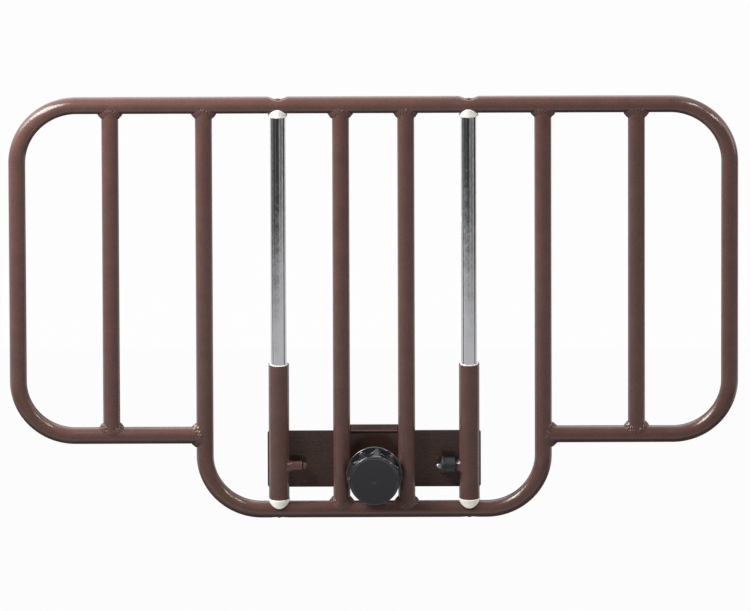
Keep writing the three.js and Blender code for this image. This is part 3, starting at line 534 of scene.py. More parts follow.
def clouded_finish(name, light, dark, clouds, grain, relief, sockets, gloss=None):
    """A finish whose two colours mix in soft clouds, with a fine grain that stands up from the surface.
    clouds and grain are noise settings, relief is the grain's bump, sockets holds the surface's own values,
    and gloss is the roughness of the light and of the dark clouds, where it varies."""
    made, tree, place_in = new_material(name)
    cloud = node(tree, "TexNoise", {"Vector": place_in, **clouds}).outputs["Fac"]
    tone = node(tree, "Mix", {0: cloud, 6: colour(light), 7: colour(dark)}, data_type="RGBA")
    fine = node(tree, "TexNoise", {"Vector": place_in, **grain})
    bump = node(tree, "Bump", {"Height": fine.outputs["Fac"], **relief})
    sockets = {**sockets, "Base Color": tone.outputs[2], "Normal": bump.outputs["Normal"]}
    if gloss:
        rough = node(tree, "MapRange", {"Value": cloud, "To Min": gloss[0], "To Max": gloss[1]})
        sockets["Roughness"] = rough.outputs[0]
    skin = node(tree, "BsdfPrincipled", sockets)
    node(tree, "OutputMaterial", {"Surface": skin.outputs["BSDF"]})
    return made


def coat_node(name, material):
    """Gives a solid that stays its finish."""
    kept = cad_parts[name]
    kept.data.materials.clear()
    kept.data.materials.append(material)


# Bright zinc over turned steel: a grey metal with a soft satin sheen that varies in small clouds.
zinc = clouded_finish("zinc_plated_turned_steel", "#d2d4d6", "#b2b4b8", {"Scale": 260.0, "Detail": 3.0},
                      {"Scale": 2200.0, "Detail": 2.0}, {"Strength": 0.2, "Distance": 0.00003},
                      {"Metallic": 1.0}, gloss=(0.2, 0.42))
for name in ("left_top_post_plug", "left_bottom_post_plug", "right_top_post_plug", "right_bottom_post_plug",
             "latch_pin", "latch_spring"):
    coat_node(name, zinc)


# Bumpers: saddles moulded in natural ivory nylon, between the posts' ends and the rails. The flat end meets
# the sleeve or the post, and two rounded tongues hug the rail. The hidden guide pad is the same nylon.

TOP_BUMPER_RADIUS = 12.2
BOTTOM_BUMPER_RADIUS = 13.6
BUMPER_HEIGHT = 14.6
BUMPER_TONGUE = 3.8
BUMPER_RIM = 2.2
BUMPER_EASE = 0.9
BUMPER_TOE = 0.8 * BUMPER_EASE
RAIL_SEAT = TUBE_RADIUS + 0.3
SEAT_SOFTNESS = 0.5


def saddle(outer):
    """A drum about Z on a rail along X. Its underside, at (x, y), is the higher of the tongue's parabola in x
    and the rail's round in y. The wall's top and bottom edges are eased by quarter circles."""
    angle = once_round(144)

    def underside(radius):
        """The height of the underside at a radius, with the step between its two forms rounded."""
        x, y = radius * np.cos(angle), radius * np.sin(angle)
        tongue = BUMPER_TONGUE + (BUMPER_HEIGHT - BUMPER_RIM - BUMPER_TONGUE) * (x / outer) ** 2
        rail = np.sqrt(np.maximum(RAIL_SEAT**2 - y**2, 0))
        gap = tongue - rail
        meeting = (gap + SEAT_SOFTNESS) ** 2 / (4 * SEAT_SOFTNESS)
        return rail + np.where(gap > SEAT_SOFTNESS, gap, np.where(gap < -SEAT_SOFTNESS, 0, meeting))

    quarter = np.linspace(0, np.pi / 2, 6)[:, None]
    share = np.linspace(0, 1, 8)[:, None]
    wall_high, wall_low = BUMPER_HEIGHT - BUMPER_EASE, underside(outer) + BUMPER_TOE
    toe_radius = outer - BUMPER_TOE * (1 - np.cos(quarter))
    inner_radius = np.linspace(outer - BUMPER_TOE, 0, 40)[:, None]
    rows = [(radius, BUMPER_HEIGHT) for radius in np.linspace(0, outer - BUMPER_EASE, 8)]
    rows += zip(outer - BUMPER_EASE * (1 - np.sin(quarter)), wall_high + BUMPER_EASE * np.cos(quarter))
    rows += zip(outer + 0 * share, wall_high * (1 - share) + wall_low * share)
    rows += zip(toe_radius, wall_low - (wall_low - underside(toe_radius)) * np.sin(quarter))
    rows += zip(inner_radius, underside(inner_radius))
    return lathe(angle, rows[::-1])


# Natural nylon, injection moulded: ivory, slightly translucent, with a soft sheen and a very fine mould
# texture.
nylon = clouded_finish("nylon_natural_moulded", "#f8f6ee", "#efece0", {"Scale": 120.0, "Detail": 2.0},
                       {"Scale": 1800.0, "Detail": 2.0}, {"Strength": 0.25, "Distance": 0.00004},
                       {"Roughness": 0.42, "IOR": 1.53, "Subsurface Weight": 0.15,
                        "Subsurface Radius": (1.0, 0.9, 0.7), "Subsurface Scale": 0.0012})
coat_node("guide_pad", nylon)
for side, hand in SIDES:
    for end, z, degrees, outer in (("bottom", BOTTOM_RAIL_Z, 0, BOTTOM_BUMPER_RADIUS),
                                   ("top", TOP_RAIL_Z, 180, TOP_BUMPER_RADIUS)):
        turn = joint_at(side * POST_X, z, UPSIDE_DOWN, degrees)
        seat = make_piece(f"{hand}_{end}_saddle", [place(saddle(outer), turn)], nylon)
        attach(seat, "guard")
        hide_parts(f"{hand}_{end}_bumper")


# Post screws: steel pan heads with a cross recess, painted with the guard. They are driven through the
# rails' dimples and the bumpers into the plugs, and sit in the dimples.

SCREW_HEAD_RADIUS = 4.1
SCREW_HEAD_HEIGHT = 1.0
SCREW_SHANK_RADIUS = 3.0
SCREW_TIP = -28.9
RECESS_ARM = 1.9
RECESS_HALF_WIDTH = 0.45
RECESS_DEPTH = 1.2
SEAT_GAP = 0.3
NEVER_ZERO = 1e-6


def pan_screw(dimple_depth, tilt):
    """A shank about Z under a domed head. The recess's outline at angle a is a cross: the further of two
    bars' edges, arm / |cos a| capped by half width / |sin a|, and the same turned by a quarter. The head is
    sheared by tilt times y, to sit flat in its dimple."""
    round_radius = dimple_round(dimple_depth)
    seat = TUBE_RADIUS - dimple_depth + SEAT_GAP
    seat += round_radius - math.sqrt(round_radius**2 - SCREW_HEAD_RADIUS**2)
    angle = once_round(96)
    cosine, sine = np.abs(np.cos(angle)) + NEVER_ZERO, np.abs(np.sin(angle)) + NEVER_ZERO
    cross = np.maximum(np.minimum(RECESS_ARM / cosine, RECESS_HALF_WIDTH / sine),
                       np.minimum(RECESS_ARM / sine, RECESS_HALF_WIDTH / cosine))
    lift = np.linspace(0, np.pi / 2, 10)[:, None]
    crown = seat + SCREW_HEAD_HEIGHT
    rows = [(0, SCREW_TIP), (SCREW_SHANK_RADIUS - 0.8, SCREW_TIP), (SCREW_SHANK_RADIUS, SCREW_TIP + 0.8),
            (SCREW_SHANK_RADIUS, seat), (SCREW_HEAD_RADIUS, seat)]
    rows += zip(SCREW_HEAD_RADIUS * np.cos(lift) + cross * np.sin(lift) ** 3,
                seat + SCREW_HEAD_HEIGHT * np.sin(lift))
    rows += [(cross, crown), (cross * 0.8, crown - RECESS_DEPTH), (0, crown - RECESS_DEPTH * 1.2)]
    points, quads = lathe(angle, rows)
    points[:, 2] -= tilt * points[:, 1] * (points[:, 2] > seat - SCREW_HEAD_HEIGHT)
    return points, quads


for side, hand in SIDES:
    for end, z, degrees, depth, tilt in (("top", TOP_RAIL_Z, 0, TOP_DIMPLE_DEPTH, TOP_DIMPLE_TILT),
                                         ("bottom", BOTTOM_RAIL_Z, 180, BOTTOM_DIMPLE_DEPTH, 0.0)):
        turn = joint_at(side * POST_X, z, UPSIDE_DOWN, degrees)
        screw = make_piece(f"{hand}_{end}_rail_screw", [place(pan_screw(depth, tilt), turn)], brown_coat)
        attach(screw, "guard")
        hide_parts(f"{hand}_{end}_post_screw")


# Sleeves: 25.6 mm steel tube round each post, powder coated brown, with rounded mouths. Four short rippled
# welds behind each one hold it to the crossplate.

SLEEVE_RADIUS = 12.8
SLEEVE_WALL = 1.2
SLEEVE_LOW_Z = POST_LOW_Z
SLEEVE_HIGH_Z = SLEEVE_LOW_Z + 175.4
SLEEVE_EASE = 0.45
STITCH_X = 7.6
STITCH_HALF = 9.5
STITCH_RADIUS = 2.7
STITCH_Z = (-9.2, 32.4)
STITCH_SINK = 1.4
STITCH_BACK_Y = -3.05
STITCH_RIPPLE = 0.13


def ring(bore, outer, low, high, ease, start, end):
    """A plain ring about Z: the section of its wall, with its four corners eased, turned once round. The
    section is a closed run in the bore, which goes down from the height start and comes back to end above it."""
    section = [(bore, start), (bore, low), (outer, low), (outer, high), (bore, high), (bore, end)]
    return lathe(once_round(96), eased(section, ease), closed=True)


def stitch_weld(x, z):
    """A straight run of weld along Z: an ellipsoid whose radius carries crescent ripples, laid in the corner
    between a sleeve and the crossplate."""
    along = np.linspace(-1, 1, 61)[:, None]
    angle = once_round(24)
    swell = np.sqrt(np.maximum(1 - np.abs(along) ** 3, 0))
    wave = np.abs(np.cos(along * STITCH_HALF * np.pi / RIPPLE_PITCH + 0.9 * np.cos(angle)))
    radius = STITCH_RADIUS * swell * (1 + STITCH_RIPPLE * (0.5 - wave**3))
    points = np.stack([x + radius * np.cos(angle), radius * np.sin(angle),
                       z + along * (STITCH_HALF + STITCH_RADIUS * 0.3) + 0 * angle], -1)
    points[..., 1] += GUARD_Y + SLEEVE_RADIUS - STITCH_SINK
    points[..., 1] = np.minimum(points[..., 1], STITCH_BACK_Y)
    return grid(points, round_v=True)


for side, hand in SIDES:
    x = side * POST_X
    stitches = [stitch_weld(x + offset, z) for offset in (-STITCH_X, STITCH_X) for z in STITCH_Z]
    wall = ring(SLEEVE_RADIUS - SLEEVE_WALL, SLEEVE_RADIUS, SLEEVE_LOW_Z, SLEEVE_HIGH_Z, SLEEVE_EASE, 0, 1)
    wall = place(wall, Matrix.Translation((x, GUARD_Y, 0)))
    tube = make_piece(f"{hand}_sleeve_tube", [wall, *stitches], brown_coat)
    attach(tube, "carrier")
    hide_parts(f"{hand}_sleeve")


# Bushes: nylon liners pressed into the sleeves' mouths, which the posts slide in. A thin lip stands on the
# rim round the post.

BUSH_LENGTH = 22.0
BUSH_LIP = 0.5
BUSH_EASE = 0.3
BUSH_BORE = POST_RADIUS + 0.3
BUSH_OUTER = SLEEVE_RADIUS - SLEEVE_WALL - 0.1

for side, hand in SIDES:
    for end, mouth_z, inward in (("bottom", SLEEVE_LOW_Z, 1), ("top", SLEEVE_HIGH_Z, -1)):
        low_z, high_z = sorted((mouth_z - inward * BUSH_LIP, mouth_z + inward * BUSH_LENGTH))
        middle = (low_z + high_z) / 2
        wall = ring(BUSH_BORE, BUSH_OUTER, low_z, high_z, BUSH_EASE, middle, middle + 1)
        wall = place(wall, Matrix.Translation((side * POST_X, GUARD_Y, 0)))
        liner = make_piece(f"{hand}_{end}_liner", [wall], nylon)
        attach(liner, "carrier")
        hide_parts(f"{hand}_{end}_bush")


# The crossplate: 3 mm steel, sheared with small round corners, which the sleeves are welded to and which
# bears on the bed. A notch in its top edge guides the jaw's tongue. It has a darker, glossier coat.

PLATE_HALF = 134.0
PLATE_LOW_Z = -25.2
PLATE_HIGH_Z = 48.4
PLATE_THICKNESS = 3.0
PLATE_CORNER = 3.0
PLATE_EDGE = 0.6
NOTCH_HALF = 29.55
NOTCH_Z = 45.1
MIDDLE_LINE_Z = 10.0
MIDDLE_LINE_HALF = 4 * NOTCH_HALF


def plate_outline():
    """The plate's edge as (x, z) points: the right half, from the middle of the bottom to the notch, and back
    down its mirror image."""
    turn = np.linspace(0, np.pi / 2, 9)
    shallow, steep = PLATE_CORNER * (1 - np.sin(turn)), PLATE_CORNER * (1 - np.cos(turn))
    low = np.stack([PLATE_HALF - shallow, PLATE_LOW_Z + steep], -1)
    high = np.stack([PLATE_HALF - steep, PLATE_HIGH_Z - shallow], -1)
    right = np.concatenate([[(0, PLATE_LOW_Z), (NOTCH_HALF, PLATE_LOW_Z)], low, high,
                            [(NOTCH_HALF, PLATE_HIGH_Z), (NOTCH_HALF, NOTCH_Z), (0, NOTCH_Z)]])
    left = right[::-1] * (-1, 1)
    return np.concatenate([right[:-1], left[:-1]])


def flat_plate():
    """A band round the outline: at each corner the section steps in by PLATE_EDGE and back in a quarter
    circle, and each face is closed by rows that go straight to the plate's long middle line."""
    outline = plate_outline()
    before, after = np.roll(outline, 1, 0), np.roll(outline, -1, 0)
    one, two = outline - before, after - outline
    one /= np.linalg.norm(one, axis=1)[:, None]
    two /= np.linalg.norm(two, axis=1)[:, None]
    inward = np.stack([-(one + two)[:, 1], (one + two)[:, 0]], -1)
    inward /= (inward * np.stack([-one[:, 1], one[:, 0]], -1)).sum(1)[:, None]
    quarter = np.linspace(0, np.pi / 2, 5)
    inset = PLATE_EDGE * (1 - np.concatenate([np.sin(quarter), np.cos(quarter)]))
    depth = np.concatenate([-PLATE_EDGE * (1 - np.cos(quarter)),
                            -PLATE_THICKNESS + PLATE_EDGE * (1 - np.sin(quarter))])
    band = outline[None] + inset[:, None, None] * inward[None]
    middle = np.stack([np.clip(outline[:, 0], -MIDDLE_LINE_HALF, MIDDLE_LINE_HALF),
                       np.full(len(outline), MIDDLE_LINE_Z)], -1)
    t = np.linspace(1, 0, 5)[:-1, None, None]
    back = middle * t + band[0] * (1 - t)
    front = middle * t[::-1] + band[-1] * (1 - t[::-1])
    flat = np.concatenate([back, band, front])
    depths = np.concatenate([np.zeros(len(back)), depth, np.full(len(front), -PLATE_THICKNESS)])
    points = np.stack([flat[..., 0], np.repeat(depths[:, None], len(outline), 1), flat[..., 1]], -1)
    return grid(points, round_v=True)


dark_coat = powder_coat("powder_coat_dark_brown", "#49342e", "#3d2b26", "#503a33", 0.13)
plate = make_piece("bearing_plate", [flat_plate()], dark_coat, sharp=30)
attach(plate, "carrier")
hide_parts("crossplate")


# The bosses: short turned collars welded to the sleeves, pointing at each other. The left one carries a
# dome-headed guide screw, the right one the latch.

BOSS_Z = 6.3
BOSS_REACH = 28.8
BOSS_RADIUS = 6.5
BOSS_BORE = 2.8
FLARE_LENGTH = 6.4
FLARE_WIDTH = 4.6
FLARE_SINK = 0.6
FLARE_LOPSIDED = 0.35
FLARE_LUMPS = 0.12
FLARE_RIPPLE = 0.25
COLLAR_EASE = 0.7
COLLAR_BORE_END = 12.0
COLLAR_BACK = 10.0


def boss_matrix(side):
    """Takes +Z to the way a boss points: towards the clamp from its sleeve's axis."""
    turn = Matrix.Rotation(math.radians(-90 * side), 4, (0, 1, 0))
    return Matrix.Translation((side * POST_X, GUARD_Y, BOSS_Z)) @ turn


def collar(side):
    """A collar about its axis, lathed with eased edges. Its weld is a hollow quarter curve that flares on to
    the sleeve, wider on one side, with five lumps and thirteen pairs of ripples round the collar:
    radius = collar + width * (1 - sin) * lumps + ripple."""
    angle = once_round(120)
    lift = np.linspace(0, np.pi / 2, 16)[:, None]
    lumps = 1 - FLARE_LOPSIDED * side * np.cos(angle) + FLARE_LUMPS * np.sin(5 * angle)
    ripple = FLARE_RIPPLE * (0.5 - np.abs(np.cos(13 * angle + 2 * lift)) ** 3) * np.cos(lift)
    flare_radius = BOSS_RADIUS + FLARE_WIDTH * (1 - np.sin(lift)) * lumps + ripple
    flare_z = SLEEVE_RADIUS + FLARE_LENGTH * (1 - np.cos(lift)) - FLARE_SINK
    foot_drop = np.sqrt(np.maximum(SLEEVE_RADIUS**2 - (flare_radius * np.sin(angle)) ** 2, 0)) - SLEEVE_RADIUS
    flare_z = flare_z + foot_drop * np.cos(lift) ** 2
    body = eased([(BOSS_RADIUS, SLEEVE_RADIUS + FLARE_LENGTH), (BOSS_RADIUS, BOSS_REACH),
                  (BOSS_BORE, BOSS_REACH), (BOSS_BORE, COLLAR_BORE_END)], COLLAR_EASE)
    rows = [*zip(flare_radius, flare_z), *body[1:], (BOSS_BORE, COLLAR_BACK)]
    return place(lathe(angle, rows, closed=True), boss_matrix(side))


for side, name in ((-1, "guide_boss"), (1, "latch_boss")):
    made = make_piece(name.replace("boss", "collar"), [collar(side)], brown_coat)
    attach(made, "carrier")
    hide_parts(name)


def hexagon(angle, width):
    """The distance from a hexagon's centre to its edge at an angle, for a width across its flats."""
    return width / 2 / np.cos((angle + np.pi / 6) % (np.pi / 3) - np.pi / 6)


GUIDE_HEAD_RADIUS = 4.75
GUIDE_HEAD_START = 30.3
GUIDE_HEAD_LENGTH = 4.4
GUIDE_SHANK_RADIUS = 2.5
GUIDE_SHANK_START = 17.9
GUIDE_HEAD_EDGE = 0.3
GUIDE_SOCKET_WIDTH = 2.8
GUIDE_SOCKET_DEPTH = 1.8
GUIDE_SOCKET_POINT = 2.2


def dome_screw():
    """A screw about its axis: shank, then a drum whose end is a quarter ellipse down to a hexagon socket."""
    angle = once_round(72)
    socket = hexagon(angle, GUIDE_SOCKET_WIDTH)
    lift = np.linspace(0, np.pi / 2, 10)[:, None]
    straight = GUIDE_HEAD_START + GUIDE_HEAD_LENGTH / 2
    end = GUIDE_HEAD_START + GUIDE_HEAD_LENGTH
    rows = [(0, GUIDE_SHANK_START), (GUIDE_SHANK_RADIUS, GUIDE_SHANK_START),
            (GUIDE_SHANK_RADIUS, GUIDE_HEAD_START), (GUIDE_HEAD_RADIUS - GUIDE_HEAD_EDGE, GUIDE_HEAD_START),
            (GUIDE_HEAD_RADIUS, GUIDE_HEAD_START + GUIDE_HEAD_EDGE)]
    rows += zip(socket + (GUIDE_HEAD_RADIUS - socket) * np.cos(lift), straight + (end - straight) * np.sin(lift))
    rows += [(socket * 0.97, end - 0.1), (socket * 0.95, end - GUIDE_SOCKET_DEPTH), (0, end - GUIDE_SOCKET_POINT)]
    return lathe(angle, rows)


guide = make_piece("guide_dome_screw", [place(dome_screw(), boss_matrix(-1))], brown_coat)
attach(guide, "carrier")
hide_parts("guide_screw")


# The latch's pull: a moulded black cup over the right boss with a wider finger flange, held on the pin's
# tail by a bright dome nut.

CUP_START = 18.0
CUP_RADIUS = 11.2
CUP_BORE = 6.95
PULL_FLANGE_RADIUS = 12.8
PULL_FLANGE_START = 31.6
PULL_END = 34.8
LATCH_NUT_WIDTH = 7.0
LATCH_NUT_LENGTH = 7.0
CUP_EASE = 0.8
PULL_HOLE = 2.3
NUT_GAP = 0.3
NUT_FACE_RADIUS = 3.5
NUT_CONE_START = 3.4
NUT_CONE_SLOPE = 0.6
NUT_SHOULDER_RADIUS = 3.55
NUT_SHOULDER = 0.15
NUT_DOME_STEP = 0.25


def moulded_black(name, light, dark, roughness, grain_strength, polish):
    """Black moulding compound with a fine spark-eroded grain, about 0.4 mm, that leaves a soft grey sheen.
    Polish is the share of a smooth moulded skin over it, which draws thin bright lines along rounded edges."""
    return clouded_finish(name, light, dark, {"Scale": 70.0, "Detail": 3.0},
                          {"Scale": 1300.0, "Detail": 3.0, "Roughness": 0.6},
                          {"Strength": grain_strength, "Distance": 0.00006},
                          {"IOR": 1.55, "Coat Weight": polish, "Coat Roughness": 0.07},
                          gloss=(roughness - 0.06, roughness + 0.08))


black_plastic = moulded_black("black_nylon_moulded", "#26262a", "#1e1f22", 0.42, 0.5, 0.0)
cup_section = [(CUP_BORE, 22.0), (CUP_BORE, CUP_START), (CUP_RADIUS, CUP_START), (CUP_RADIUS, PULL_FLANGE_START),
               (PULL_FLANGE_RADIUS, PULL_FLANGE_START), (PULL_FLANGE_RADIUS, PULL_END), (PULL_HOLE, PULL_END),
               (PULL_HOLE, BOSS_REACH + 0.3), (CUP_BORE, BOSS_REACH + 0.3), (CUP_BORE, 23.0)]
cup = lathe(once_round(96), eased(cup_section, CUP_EASE), closed=True)
pull = make_piece("latch_pull_cup", [place(cup, boss_matrix(1))], black_plastic)
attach(pull, "latch")
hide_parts("pull_knob")


def dome_nut():
    """A nut about its axis. Its radius is the hexagon's, cut by a cone at the foot, and its far end is a
    half round drawn in from the hexagon."""
    angle = once_round(72)
    start = PULL_END + NUT_GAP
    flats = hexagon(angle, LATCH_NUT_WIDTH)
    shoulder = start + LATCH_NUT_LENGTH / 2
    lift = np.linspace(0, np.pi / 2, 12)[:, None]
    dome = LATCH_NUT_WIDTH / 2 - NUT_DOME_STEP
    slope = (flats - NUT_CONE_START) * NUT_CONE_SLOPE
    rows = [(0, start), (np.minimum(flats, NUT_FACE_RADIUS), start), (flats, start + slope),
            (flats, shoulder - slope), (np.minimum(flats, NUT_SHOULDER_RADIUS), shoulder),
            (dome, shoulder + NUT_SHOULDER)]
    rows += zip(dome * np.cos(lift),
                shoulder + NUT_SHOULDER + (LATCH_NUT_LENGTH / 2 - NUT_SHOULDER) * np.sin(lift))
    return lathe(angle, rows)


nut = make_piece("latch_dome_nut", [place(dome_nut(), boss_matrix(1))], zinc, sharp=25)
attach(nut, "latch")
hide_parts("latch_nut")


# The clamp knob: moulded in black nylon, 70 mm across, with a thin rear flange, ten finger flutes that run
# out towards the front and a back cored out between five ribs. A flat cap closes its front.

KNOB_REAR_Y = -27.65
KNOB_TURN = math.radians(12)
FLANGE_RADIUS = 35.4
FLANGE_THICKNESS = 4.6
FLANGE_EDGE = 1.5
GRIP_REAR_RADIUS = 33.5
GRIP_FRONT_RADIUS = 31.5
KNOB_LENGTH = 31.6
FLUTES = 10
FLUTE_RADIUS = 11.0
FLUTE_REAR_DEPTH = 6.0
FLUTE_FRONT_DEPTH = 0.5
HUB_RADIUS = 13.0
POCKET_OUTER = 24.3
POCKET_DEPTH = 22.0
RIB_HALF = 1.5
SOFT_EDGE = 0.4
BACK_RIBS = 5
KNOB_BORE = 5.3
KNOB_BORE_DEPTH = 15.0
GRIP_FILLET = 0.8
FACE_RADIUS = 26.0


def knob_matrix():
    """Takes +Z to the way the knob faces, with the knob's own turn at rest."""
    turn = Matrix.Rotation(math.radians(90), 4, (1, 0, 0)) @ Matrix.Rotation(KNOB_TURN, 4, (0, 0, 1))
    return Matrix.Translation((0, KNOB_REAR_Y, 0)) @ turn


def grip_radius(angle, height):
    """The grip's radius at an angle and height: the taper from rear to front, or the wall of the nearest
    flute where that is less. A flute's wall is the near side of a circle about a point outside the grip.
    The two meet in a soft minimum."""
    share = np.clip((height - FLANGE_THICKNESS) / (KNOB_LENGTH - FLANGE_THICKNESS), 0, 1)
    taper = GRIP_REAR_RADIUS + (GRIP_FRONT_RADIUS - GRIP_REAR_RADIUS) * share
    rear = GRIP_REAR_RADIUS - FLUTE_REAR_DEPTH + FLUTE_RADIUS
    centre = rear + (GRIP_FRONT_RADIUS - FLUTE_FRONT_DEPTH + FLUTE_RADIUS - rear) * share
    step = TAU / FLUTES
    from_flute = (angle + 0 * height) % step - step / 2
    inside = FLUTE_RADIUS**2 - (centre * np.sin(from_flute)) ** 2
    wall = centre * np.cos(from_flute) - np.sqrt(np.maximum(inside, 0))
    wall = np.where(inside > 0, wall, taper + 2 * SOFT_EDGE)
    return soft_minimum(wall, taper, SOFT_EDGE)


def smooth(share):
    """0 to 1 in a soft S, from a share that is cut off at both ends."""
    share = np.clip(share, 0, 1)
    return share**2 * (3 - 2 * share)


def pocket_floor(radius, angle):
    """How deep the cored-out back is: full depth once a point is a soft edge's width inside the nearest of
    the hub, the outer wall and the nearest rib."""
    step = TAU / BACK_RIBS
    from_rib = radius * np.sin(np.abs(angle % step - step / 2 + 0 * radius))
    inside = np.minimum(np.minimum(radius - HUB_RADIUS, POCKET_OUTER - radius), from_rib - RIB_HALF)
    return POCKET_DEPTH * smooth(inside / SOFT_EDGE)


def knob_shell():
    """The knob's skin as rows about its axis: back with pockets, flange, fillet, grip and front."""
    angle = once_round(480)
    quarter = np.linspace(0, np.pi / 2, 7)[:, None]
    rim = FLANGE_RADIUS - FLANGE_EDGE
    back = np.concatenate([np.linspace(KNOB_BORE, HUB_RADIUS - 0.5, 6), np.linspace(HUB_RADIUS, POCKET_OUTER, 64),
                           np.linspace(POCKET_OUTER + 0.5, rim, 5)])[:, None]
    rows = [(KNOB_BORE, KNOB_BORE_DEPTH), *zip(back, pocket_floor(back, angle))]
    rows += zip(rim + FLANGE_EDGE * np.sin(quarter), FLANGE_EDGE * (1 - np.cos(quarter)))
    rows += zip(rim + FLANGE_EDGE * np.cos(quarter), FLANGE_THICKNESS - FLANGE_EDGE * (1 - np.sin(quarter)))
    foot = grip_radius(angle, FLANGE_THICKNESS + GRIP_FILLET)
    rows += [(foot + GRIP_FILLET, FLANGE_THICKNESS), (foot + 0.25, FLANGE_THICKNESS + 0.25),
             (foot, FLANGE_THICKNESS + GRIP_FILLET)]
    rise = np.linspace(FLANGE_THICKNESS + 1.2, KNOB_LENGTH - 0.8, 26)[:, None]
    rows += zip(grip_radius(angle, rise), rise)
    edge = grip_radius(angle, KNOB_LENGTH)
    rows += [(edge - 0.15, KNOB_LENGTH - 0.3), (edge - 0.6, KNOB_LENGTH), (FACE_RADIUS, KNOB_LENGTH),
             (KNOB_BORE, KNOB_LENGTH)]
    return place(lathe(angle, rows, closed=True), knob_matrix())


knob_plastic = moulded_black("black_nylon_knob", "#29292f", "#222227", 0.2, 0.25, 0.8)
knob = make_piece("clamp_hand_knob", [knob_shell()], knob_plastic)
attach(knob, "clamp_knob")
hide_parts("knob_body")

CAP_START = KNOB_LENGTH + 0.3
CAP_TOP = CAP_START + 3.2
CAP_EASE = 1.6
CAP_RIM = 29.6

# The cap's face from its rim inwards, as radius and depth below the rim: a step down and a plain recess.
CAP_FACE = ((29.3, 0.06), (28.8, 0.24), (28.4, 0.3), (4.0, 0.3), (3.0, 0.38), (0, 0.38))

cap_edge = [(25, CAP_START), (GRIP_FRONT_RADIUS, CAP_START), (GRIP_FRONT_RADIUS, CAP_TOP), (CAP_RIM, CAP_TOP)]
cap_rows = [(0, CAP_START), (20, CAP_START), *eased(cap_edge, CAP_EASE, 9)]
cap_rows += [(radius, CAP_TOP - depth) for radius, depth in CAP_FACE]
cap = make_piece("clamp_knob_cap", [place(lathe(once_round(144), cap_rows), knob_matrix())], knob_plastic)
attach(cap, "clamp_knob")
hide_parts("knob_cap")


# The clamp's metal: the spacer behind the knob, the thrust washer on the crossplate, and the 10 mm screw
# that runs from the knob through the jaw's nut. All zinc plated.

SCREW_RADIUS = 5.0
THREAD_PITCH = 1.5
THREAD_DEPTH = 0.85
SCREW_TAIL_Y = 41.3
SCREW_HEAD_Y = 50.85
FACING_ROOM = Matrix.Rotation(math.radians(90), 4, (1, 0, 0))
SCREW_HOLE = 5.4
SCREW_HEAD_WIDTH = 16.0
SCREW_HEAD_END_Y = SCREW_HEAD_Y + 6.4
SPACER_RADIUS = 10.0
SPACER_BACK = 5.6
WASHER_RADIUS = 13.0
WASHER_BACK = 3.3
WASHER_FRONT = 5.3
SPACER_EASE = 0.5
WASHER_EASE = 0.4
SPACER_FRONT = -KNOB_REAR_Y - 0.3
TAIL_CHAMFER = 1.2

middle = (SPACER_BACK + SPACER_FRONT) / 2
wall = ring(SCREW_HOLE, SPACER_RADIUS, SPACER_BACK, SPACER_FRONT, SPACER_EASE, middle - 0.01, middle)
spacer = make_piece("knob_distance_tube", [place(wall, FACING_ROOM)], zinc)
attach(spacer, "clamp_knob")
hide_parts("knob_spacer")

middle = (WASHER_BACK + WASHER_FRONT) / 2
wall = ring(SCREW_HOLE, WASHER_RADIUS, WASHER_BACK, WASHER_FRONT, WASHER_EASE, middle - 0.01, middle)
washer = make_piece("clamp_thrust_washer", [place(wall, FACING_ROOM)], zinc)
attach(washer, "carrier")
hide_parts("thrust_washer")


def clamp_thread():
    """A screw about Z. Below height 0 its radius follows the thread: a triangle wave of the height over the
    pitch less the angle over a turn, faded out at the tail's chamfer."""
    angle = once_round(48)
    height = np.arange(-SCREW_TAIL_Y, 0, THREAD_PITCH / 8)[:, None]
    phase = (height / THREAD_PITCH - angle / TAU) % 1
    cut = THREAD_DEPTH * np.clip(1.25 * (1 - np.abs(2 * phase - 1)), 0, 1)
    chamfer = np.clip(SCREW_RADIUS - TAIL_CHAMFER + (height + SCREW_TAIL_Y), 0, SCREW_RADIUS)
    thread = np.minimum(SCREW_RADIUS - cut, chamfer)
    head = hexagon(angle, SCREW_HEAD_WIDTH)
    rows = [(0, -SCREW_TAIL_Y), (SCREW_RADIUS - 1.3, -SCREW_TAIL_Y), *zip(thread, height), (SCREW_RADIUS, 0),
            (SCREW_RADIUS, SCREW_HEAD_Y), (head, SCREW_HEAD_Y), (head, SCREW_HEAD_END_Y), (0, SCREW_HEAD_END_Y)]
    return lathe(angle, rows)


shank = make_piece("clamp_threaded_screw", [place(clamp_thread(), FACING_ROOM)], zinc)
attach(shank, "clamp_knob")
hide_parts("clamp_screw")


# The jaw: one bent steel plate, 3 mm thick, with the crossplate's coat. Its leg grips the bed's side rail
# from behind and its flange passes over the rail and ends in a tongue in the crossplate's notch.

JAW_HALF = 37.0
TONGUE_HALF = 29.25
TONGUE_END = 18.3
JAW_BEND = 3.5
JAW_TOP_Z = PLATE_HIGH_Z - 1.5
JAW_LEG_Y = 27.5
JAW_CORNER = 10.0
JAW_HALF_THICKNESS = 1.5
JAW_NOSE = 1.3
JAW_EASE = 0.6
JAW_NUT_WIDTH = 17.0
JAW_NUT_BORE = 5.3
JAW_NUT_LOW = -37.3
JAW_NUT_HIGH = -29.3
NUT_CHAMFER = 0.8


